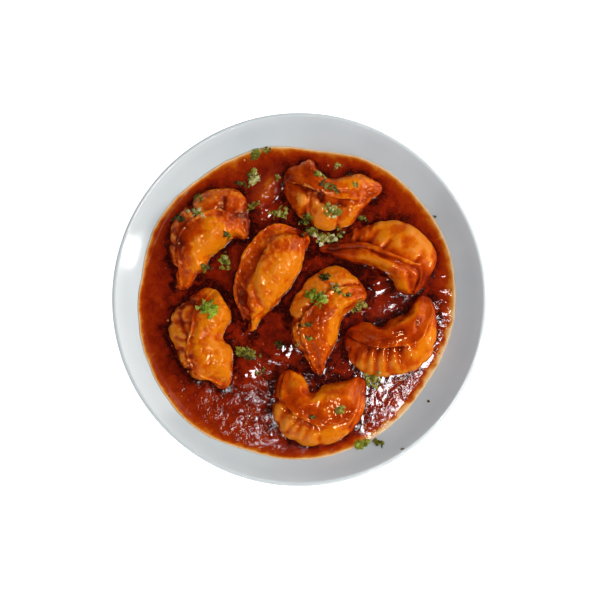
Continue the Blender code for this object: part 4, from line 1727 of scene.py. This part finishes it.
SPRIGS = (
    Sprig(-24.5, 83.0, (3.0, 4.5), 11, 0.55, 2.8, 100, crisp=0.5),
    Sprig(-19.3, 85.0, (1.8, 3.0), 5, 0.45, 2.3, 60),
    Sprig(-26.5, 69.4, (4.6, 4.2), 22, 0.72, 3.0),
    Sprig(-33.6, 65.8, (1.2, 3.6), 6, 0.12, 2.6, 75),
    Sprig(-27.0, 53.4, (2.0, 4.2), 8, 0.62, 2.3, 115),
    Sprig(-12.8, 68.8, (1.3, 2.0), 4, 0.6, 2.0),
    Sprig(-11.8, 47.6, (4.0, 2.6), 11, 0.5, 2.6),
    Sprig(3.6, 45.0, (2.2, 5.0), 12, 0.42, 2.6, 110),
    Sprig(7.0, 39.0, (2.8, 4.5), 12, 0.5, 2.6, 120),
    Sprig(15.8, 34.0, (5.2, 2.8), 20, 0.82, 2.8),
    Sprig(23.4, 37.8, (1.9, 2.8), 6, 0.5, 2.3),
    Sprig(35.7, 45.8, (3.6, 2.0), 8, 0.22, 2.4, 20),
    Sprig(19.4, 49.2, (3.6, 5.2), 20, 0.6, 2.8, 60),
    Sprig(11.6, 68.6, (4.6, 1.4), 8, 0.5, 3.8, -12, (Cut.STRIP, Cut.LOBE)),
    Sprig(17.0, 61.4, (5.8, 1.4), 9, 0.42, 4.6, -16, (Cut.STRIP,)),
    Sprig(31.2, 62.9, (1.0, 1.6), 3, 0.45, 2.6, 70, (Cut.STRIP, Cut.LOBE)),
    Sprig(29.0, 70.0, (3.4, 0.8), 3, 0.1, 3.6, 12, (Cut.STRIP,)),
    Sprig(21.0, 76.2, (2.8, 1.6), 5, 0.6, 2.0, 20),
    Sprig(-56.8, 57.4, (1.8, 3.2), 6, 0.4, 2.8, 80),
    Sprig(-57.8, 47.6, (2.2, 4.6), 9, 0.9, 3.0, 70, (Cut.STRIP, Cut.LOBE, Cut.FAN), crisp=0.35),
    Sprig(-67.4, 45.0, (1.8, 4.4), 5, 0.08, 3.4, 65, (Cut.LOBE, Cut.FAN)),
    Sprig(-41.1, 35.1, (2.4, 1.2), 3, 0.1, 3.6, 0, (Cut.LOBE,)),
    Sprig(-42.7, 20.5, (3.4, 4.2), 16, 0.72, 2.7, crisp=0.5),
    Sprig(-52.6, 17.5, (2.0, 2.4), 3, 0.15, 3.8, 40, (Cut.FAN, Cut.LOBE)),
    Sprig(6.4, 1.4, (2.6, 2.6), 8, 0.45, 3.0, crisp=0.8),
    Sprig(11.2, -0.6, (3.2, 3.8), 22, 0.5, 3.3, crisp=0.8),
    Sprig(14.3, 12.1, (2.8, 2.0), 5, 0.06, 3.4, 0, (Cut.LOBE, Cut.FAN)),
    Sprig(20.6, 4.4, (2.4, 4.2), 9, 0.6, 2.6, 50),
    Sprig(27.0, 1.0, (1.3, 1.8), 4, 0.4, 2.2),
    Sprig(5.2, -16.0, (1.4, 3.0), 4, 0.3, 2.6, 90),
    Sprig(6.0, -22.6, (1.2, 2.4), 3, 0.35, 2.4, 80),
    Sprig(-0.8, -26.8, (0.8, 3.0), 3, 0.9, 3.2, 110, (Cut.STALK, Cut.STRIP)),
    Sprig(33.1, -4.6, (4.4, 3.2), 11, 0.48, 3.2, 30, (Cut.LOBE, Cut.FAN)),
    Sprig(41.6, -45.8, (4.4, 3.4), 20, 0.62, 2.6),
    Sprig(22.9, -62.9, (1.4, 1.2), 3, 0.62, 3.4, 0, (Cut.FAN,)),
    Sprig(7.5, -66.8, (1.8, 1.0), 3, 0.1, 2.4, 0, (Cut.LOBE,)),
    Sprig(34.6, -82.6, (4.4, 1.6), 12, 0.5, 3.2, 10, (Cut.LOBE, Cut.FAN), crisp=0.55),
    Sprig(44.2, -81.8, (2.6, 1.8), 8, 0.42, 2.8, crisp=0.5),
    Sprig(-50.6, -6.8, (3.2, 4.4), 24, 0.64, 4.0, 70, (Cut.FAN, Cut.LOBE, Cut.FAN), crisp=0.95),
    Sprig(-29.0, -31.4, (3.0, 5.6), 19, 0.42, 4.0, 75, (Cut.FAN, Cut.LOBE)),
    Sprig(-10.9, -26.6, (3.4, 2.2), 6, 0.1, 2.6),
    Sprig(-21.1, -41.8, (3.6, 2.4), 5, 0.3, 2.0),
    Sprig(57.0, -84.2, (0.8, 0.5), 2, 0.1, 1.4),
    Sprig(72.4, -58.0, (0.8, 0.5), 2, 0.3, 1.3),
    Sprig(77.3, 46.3, (0.6, 0.8), 2, 0.3, 1.2),
)


@dataclass(frozen=True)
class Coriander:
    """Chopped coriander strewn over the dish, some dry and bright, some soaked and dark.

    fullness multiplies each sprig's count. Bits lean by lean on average and by steepest at most,
    in radians, and lie heaped up to lift above what they land on. Those that stand over the
    dish's highest crest are pressed down by the share pressed.
    """

    sprigs: tuple[Sprig, ...] = SPRIGS
    fullness: float = 1.9
    lean: float = 0.4
    steepest: float = 0.6
    lift: tuple[float, float] = (0.3, 0.3)
    sizes: tuple[float, float] = (0.6, 1.3)
    uneven: tuple[float, float] = (0.2, 0.15)
    pressed: float = 0.6
    seed: int = 12
    bits: tuple[tuple[Cut, LeafBit], ...] = (
        (Cut.FAN, LeafBit((0.06, 0.24, 0.46, 0.24, 0.50, 0.18, 0.05), 0.30, 0.35, 0.9)),
        (Cut.LOBE, LeafBit((0.06, 0.30, 0.10, 0.34, 0.14, 0.24, 0.04), 0.24, -0.35, 1.1)),
        (Cut.FLAKE, LeafBit((0.08, 0.44, 0.26, 0.48, 0.20, 0.30, 0.06), 0.45, 0.4, -0.9)),
        (Cut.STRIP, LeafBit((0.04, 0.13, 0.09, 0.15, 0.08, 0.12, 0.03), 0.18, 0.6, 1.6)),
        (Cut.STALK, LeafBit((0.05, 0.06, 0.06, 0.06, 0.05), 0.10, -0.6, 0.0, 0.10)),
    )

    def cuttings(self) -> bpy.types.Collection:
        """Makes one small mesh for each kind of cut, in a collection of their own.

        Returns:
            The collection, which is in no scene.
        """
        collection = bpy.data.collections.new("coriander_cuttings")
        for cut, bit in self.bits:
            grid, faces = bit.points()
            mesh = bpy.data.meshes.new(f"cutting_{cut.value}")
            mesh.from_pydata(grid.reshape(-1, 3).tolist(), [], faces)
            mesh.shade_smooth()
            obj = bpy.data.objects.new(mesh.name, mesh)
            face_outwards(obj)
            collection.objects.link(obj)
        return collection

    def tree(self) -> bpy.types.NodeTree:
        """Builds the node tree that lays a cutting on each point.

        Returns:
            The tree, with the inputs Places, Cuttings, Length and Finish.
        """
        sockets = {"Places": "Geometry", "Cuttings": "Collection", "Length": "Float", "Finish": "Material"}
        tree, given = open_tree("strew_cuttings", sockets)
        kinds = add_node(
            tree,
            "GeometryNodeCollectionInfo",
            {"Collection": given["Cuttings"], "Separate Children": True, "Reset Children": True},
        ).outputs[0]
        kind = add_node(tree, STORED, {"Name": "kind"}, data_type="INT").outputs[0]
        turn = add_node(tree, STORED, {"Name": "turn"}, data_type="FLOAT_VECTOR").outputs[0]
        size = add_node(tree, STORED, {"Name": "size"}, data_type="FLOAT").outputs[0]
        length = add_node(tree, "ShaderNodeMath", {0: size, 1: given["Length"]}, operation="MULTIPLY")
        facing = add_node(tree, "FunctionNodeEulerToRotation", {0: turn}).outputs[0]
        laid = add_node(
            tree,
            "GeometryNodeInstanceOnPoints",
            {
                "Points": given["Places"],
                "Instance": kinds,
                "Pick Instance": True,
                "Instance Index": kind,
                "Rotation": facing,
                "Scale": length,
            },
        )
        close_tree(tree, laid, given["Finish"])
        return tree

    def places(self, ground: BVHTree) -> bpy.types.Object:
        """Drops the points on which the cuttings lie.

        Args:
            ground: Everything that they can land on.

        Returns:
            A mesh of bare points with the attributes kind, turn, size, tone and crisp.
        """
        draw = np.random.default_rng(self.seed)
        spots, turns, sizes, kinds, tones, greens = [], [], [], [], [], []
        for sprig in self.sprigs:
            ahead = math.radians(sprig.turn)
            for _ in range(round(self.fullness * sprig.count)):
                offset = draw.normal(0, 0.5, 2) * sprig.reach
                x = sprig.x + offset[0] * math.cos(ahead) - offset[1] * math.sin(ahead)
                y = sprig.y + offset[0] * math.sin(ahead) + offset[1] * math.cos(ahead)
                spot, normal, _, _ = ground.ray_cast(Vector((x * MM, y * MM, RAY_HEIGHT)), DOWN)
                spin = draw.uniform(0, 2 * math.pi)
                lean = float(np.clip(draw.normal(0, self.lean), -self.steepest, self.steepest))
                size = sprig.size * draw.uniform(*self.sizes)
                cut = sprig.cuts[draw.integers(len(sprig.cuts))]
                tone = float(np.clip(sprig.tone + draw.normal(0, self.uneven[0]), 0, 1))
                heap = abs(draw.normal(*self.lift)) * (0.35 + 0.65 * sprig.tone)
                if cut in (Cut.STRIP, Cut.STALK):
                    spin = ahead + draw.normal(0, 0.35)
                if spot is None:
                    continue
                facing = normal.to_track_quat("Z", "Y").to_matrix()
                facing = facing @ Matrix.Rotation(spin, 3, "Z") @ Matrix.Rotation(lean, 3, "X")
                spots.append(spot / MM + Vector((0, 0, heap)))
                turns.append(facing.to_euler())
                sizes.append(size)
                kinds.append(cut.value)
                tones.append(tone)
                greens.append(float(np.clip(sprig.crisp + draw.normal(0, self.uneven[1]), 0, 1)))
        mesh = bpy.data.meshes.new("coriander_places")
        mesh.from_pydata([spot * MM for spot in spots], [], [])
        obj = bpy.data.objects.new(mesh.name, mesh)
        bpy.context.scene.collection.objects.link(obj)
        for name, values in (("size", sizes), ("tone", tones), ("crisp", greens)):
            add_attribute(obj, name, np.array(values))
        mesh.attributes.new("kind", "INT", "POINT").data.foreach_set("value", kinds)
        mesh.attributes.new("turn", "FLOAT_VECTOR", "POINT").data.foreach_set(
            "vector", np.array(turns, np.float32).ravel()
        )
        return obj

    def build(self, ground: BVHTree) -> bpy.types.Object:
        """Strews the coriander over the dish.

        Args:
            ground: Everything that it can land on.

        Returns:
            All its bits as one piece.
        """
        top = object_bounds()[1].z
        cuttings = self.cuttings()
        values = {"Cuttings": cuttings, "Length": MM, "Finish": CorianderLeaf().material()}
        obj = grow(self.places(ground), self.tree(), values, "coriander_chopped")
        for vertex in obj.data.vertices:
            vertex.co.z -= self.pressed * max(0.0, vertex.co.z - top)
        for cutting in list(cuttings.objects):
            bpy.data.objects.remove(cutting)
        wear(obj)
        return obj


@dataclass(frozen=True)
class Crumbs:
    """Chopped garlic or chilli that shows at the sauce's surface.

    per_area is how many lie on a square millimetre of the grittiest sauce, and smallest and
    largest are their widths in millimetres.
    """

    name: str
    per_area: float
    smallest: float
    largest: float
    seed: int
    tilt: float = 0.5
    lumpiness: float = 0.35
    flatness: float = 0.6

    def morsel(self) -> bpy.types.Object:
        """Makes one rough lump, one unit across.

        Returns:
            The lump, which is in no scene.
        """
        shape = bmesh.new()
        bmesh.ops.create_icosphere(shape, subdivisions=1, radius=0.5)
        for vertex in shape.verts:
            place = np.array(vertex.co) * 4.0
            vertex.co *= 1 + self.lumpiness * float(grain(place, 3.0, self.seed))
            vertex.co.z *= self.flatness
        mesh = bpy.data.meshes.new(f"{self.name}_morsel")
        shape.to_mesh(mesh)
        shape.free()
        mesh.shade_smooth()
        return bpy.data.objects.new(mesh.name, mesh)

    def tree(self) -> bpy.types.NodeTree:
        """Builds the node tree that scatters morsels where the surface is marked as gritty.

        Returns:
            The tree, with the inputs Surface, Morsel, Density, Smallest, Largest and Finish.
        """
        sockets = {
            "Surface": "Geometry",
            "Morsel": "Object",
            "Density": "Float",
            "Smallest": "Float",
            "Largest": "Float",
            "Finish": "Material",
        }
        tree, given = open_tree(f"scatter_{self.name}", sockets)
        gritty = add_node(tree, STORED, {"Name": "open"}, data_type="FLOAT").outputs[0]
        density = add_node(tree, "ShaderNodeMath", {0: gritty, 1: given["Density"]}, operation="MULTIPLY")
        points = add_node(
            tree,
            "GeometryNodeDistributePointsOnFaces",
            {"Mesh": given["Surface"], "Density": density, "Seed": self.seed},
        ).outputs[0]
        turn = add_node(
            tree,
            "FunctionNodeRandomValue",
            {0: (-self.tilt, -self.tilt, 0.0), 1: (self.tilt, self.tilt, FULL_TURN), "Seed": self.seed + 1},
            data_type="FLOAT_VECTOR",
        ).outputs[0]
        facing = add_node(tree, "FunctionNodeEulerToRotation", {0: turn}).outputs[0]
        size = add_node(
            tree,
            "FunctionNodeRandomValue",
            {2: given["Smallest"], 3: given["Largest"], "Seed": self.seed + 2},
            data_type="FLOAT",
        ).outputs[1]
        lump = add_node(tree, "GeometryNodeObjectInfo", {"Object": given["Morsel"]}).outputs["Geometry"]
        laid = add_node(
            tree,
            "GeometryNodeInstanceOnPoints",
            {"Points": points, "Instance": lump, "Rotation": facing, "Scale": size},
        )
        close_tree(tree, laid, given["Finish"])
        return tree

    def build(self, surface: bpy.types.Object, finish: bpy.types.Material) -> bpy.types.Object:
        """Scatters the crumbs over a surface.

        Args:
            surface: A mesh whose attribute open says where crumbs may lie.
            finish: The crumbs' material.

        Returns:
            The crumbs as one piece.
        """
        morsel = self.morsel()
        copy = surface.copy()
        bpy.context.scene.collection.objects.link(copy)
        values = {
            "Morsel": morsel,
            "Density": self.per_area / MM**2,
            "Smallest": self.smallest * MM,
            "Largest": self.largest * MM,
            "Finish": finish,
        }
        obj = grow(copy, self.tree(), values, self.name)
        bpy.data.objects.remove(morsel)
        wear(obj)
        return obj


def grow(obj: bpy.types.Object, tree: bpy.types.NodeTree, values: dict, name: str) -> bpy.types.Object:
    """Runs a Geometry Nodes tree on an object and keeps the result as a plain mesh.

    Args:
        obj: The object that the tree starts from, which is used up.
        tree: The node tree.
        values: The tree's inputs by name.
        name: Name of the new piece.

    Returns:
        A new object with the realised mesh.
    """
    modifier = obj.modifiers.new(tree.name, "NODES")
    modifier.node_group = tree
    for item in tree.interface.items_tree:
        if item.in_out == "INPUT" and item.name in values:
            modifier[item.identifier] = values[item.name]
    evaluated = obj.evaluated_get(bpy.context.evaluated_depsgraph_get())
    mesh = bpy.data.meshes.new_from_object(evaluated)
    mesh.name = name
    obj.modifiers.remove(modifier)
    bpy.data.objects.remove(obj)
    made = bpy.data.objects.new(name, mesh)
    bpy.context.scene.collection.objects.link(made)
    mesh.shade_smooth()
    return made


def ground_tree(pieces: Iterable[bpy.types.Object]) -> BVHTree:
    """Gathers finished pieces into one tree that rays can be cast at.

    Args:
        pieces: The pieces to gather.

    Returns:
        The tree, in metres.
    """
    points: list = []
    faces: list = []
    for piece in pieces:
        start = len(points)
        points += [vertex.co.copy() for vertex in piece.data.vertices]
        faces += [tuple(start + index for index in face.vertices) for face in piece.data.polygons]
    return BVHTree.FromPolygons(points, faces)


# ---------------------------------------------------------------- studio


@dataclass(frozen=True)
class SoftLight:
    """A soft box: where it stands, seen from the dish, its size and its power."""

    name: str
    azimuth: float
    elevation: float
    distance: float
    width: float
    height: float
    watts: float
    colour: str = "#FFFFFF"

    def build(self) -> bpy.types.Object:
        """Hangs the light and aims it at the dish.

        Returns:
            The light.
        """
        turn, climb = math.radians(self.azimuth), math.radians(self.elevation)
        away = Vector((math.cos(turn) * math.cos(climb), math.sin(turn) * math.cos(climb), math.sin(climb)))
        lamp = bpy.data.lights.new(self.name, "AREA")
        lamp.shape = "RECTANGLE"
        lamp.size, lamp.size_y = self.width, self.height
        lamp.energy = self.watts
        lamp.color = linear(self.colour)[:3]
        obj = bpy.data.objects.new(self.name, lamp)
        obj.location = away * self.distance
        obj.rotation_euler = (-away).to_track_quat("-Z", "Y").to_euler()
        bpy.context.scene.collection.objects.link(obj)
        return obj


@dataclass(frozen=True)
class Studio:
    """A white table, soft lights and a camera that looks down on the dish from the near side."""

    elevation: float = math.radians(85.0)
    distance: float = 0.62
    aim: tuple[float, float, float] = (0.0003, -0.00185, 0.0245)
    view_width: float = 0.3351
    sensor: float = 36.0
    horizon: float = 0.19
    zenith: float = 0.03
    table_size: float = 40.0
    table_drop: float = 0.0004
    lights: tuple[SoftLight, ...] = (
        SoftLight("window", -9.5, 24.0, 1.1, 0.14, 0.26, 2.8, "#FFFDF8"),
        SoftLight("bright_wall", 16.0, 30.0, 1.4, 1.5, 0.8, 9.6, "#FFFEFA"),
        SoftLight("near_wall", -125.0, 30.0, 1.6, 1.2, 0.8, 3.8, "#FAFCFF"),
        SoftLight("high_lamp", -15.0, 79.0, 1.2, 0.15, 0.15, 4.0, "#FBFAFF"),
        SoftLight("near_lamp", -119.0, 84.3, 1.2, 0.05, 0.05, 0.24, "#FBFAFF"),
        SoftLight("side_lamp", -62.0, 57.0, 1.2, 0.12, 0.12, 2.2, "#FFFDF6"),
    )

    def table(self) -> None:
        """Lays the white table top."""
        bpy.ops.mesh.primitive_plane_add(size=self.table_size, location=(0, 0, -self.table_drop))
        top = bpy.context.object
        top.name = "white_table"
        made = Finish("white_paper")
        values = {
            "Base Color": linear("#F7F7F7"),
            "Roughness": 0.9,
            "Emission Color": linear("#FFFFFF"),
            "Emission Strength": 0.95,
        }
        feed(made.shader, values)
        top.data.materials.append(made.material)
        top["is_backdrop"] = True

    def camera(self) -> None:
        """Places the camera."""
        look = Vector((0.0, math.cos(self.elevation), -math.sin(self.elevation)))
        lens = bpy.data.cameras.new("camera")
        lens.sensor_width = self.sensor
        lens.lens = self.sensor * self.distance / self.view_width
        obj = bpy.data.objects.new("camera", lens)
        obj.location = Vector(self.aim) - look * self.distance
        obj.rotation_euler = look.to_track_quat("-Z", "Y").to_euler()
        bpy.context.scene.collection.objects.link(obj)
        bpy.context.scene.camera = obj

    def build(self) -> None:
        """Sets up the table, the lights, the air and the camera."""
        self.table()
        for light in self.lights:
            light.build()
        world = bpy.data.worlds.new("soft_daylight")
        world.use_nodes = True
        tree = world.node_tree
        air = tree.nodes["Background"]
        air.inputs["Color"].default_value = linear("#EEF6FA")
        direction = add_node(tree, "ShaderNodeTexCoord").outputs["Generated"]
        height = add_node(tree, "ShaderNodeSeparateXYZ", {0: direction}).outputs["Z"]
        squared = add_node(tree, "ShaderNodeMath", {0: height, 1: height}, operation="MULTIPLY").outputs[0]
        fade = {"Value": squared, 1: 0.0, 2: 1.0, 3: self.horizon, 4: self.zenith}
        strength = add_node(tree, "ShaderNodeMapRange", fade).outputs["Result"]
        tree.links.new(strength, air.inputs["Strength"])
        bpy.context.scene.world = world
        bpy.context.scene.view_settings.view_transform = "Standard"
        self.camera()


def main() -> None:
    """Builds the dish piece by piece."""
    logging.basicConfig(level=logging.INFO, format="%(name)s: %(message)s")
    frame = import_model()
    LOG.info("frame: %d packed nodes", len(frame["nodes"]))
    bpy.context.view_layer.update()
    Studio().build()
    plate = Plate()
    dish = plate.build()
    wrapper = SteamedWrapper().material()
    momos = [momo.build(wrapper, plate) for momo in MOMOS]
    pool = Sauce().build(plate, momos)
    ground = ground_tree([dish, pool, *momos])
    Coriander().build(ground)
    garlic = Crumbs("garlic_crumbs", per_area=0.022, smallest=0.5, largest=1.6, seed=5)
    garlic.build(pool, FriedGarlic().material())
    chilli = Crumbs("chilli_crumbs", per_area=0.05, smallest=0.7, largest=1.7, seed=9)
    chilli.build(pool, ChilliFlake().material())


if __name__ == "__main__":
    main()
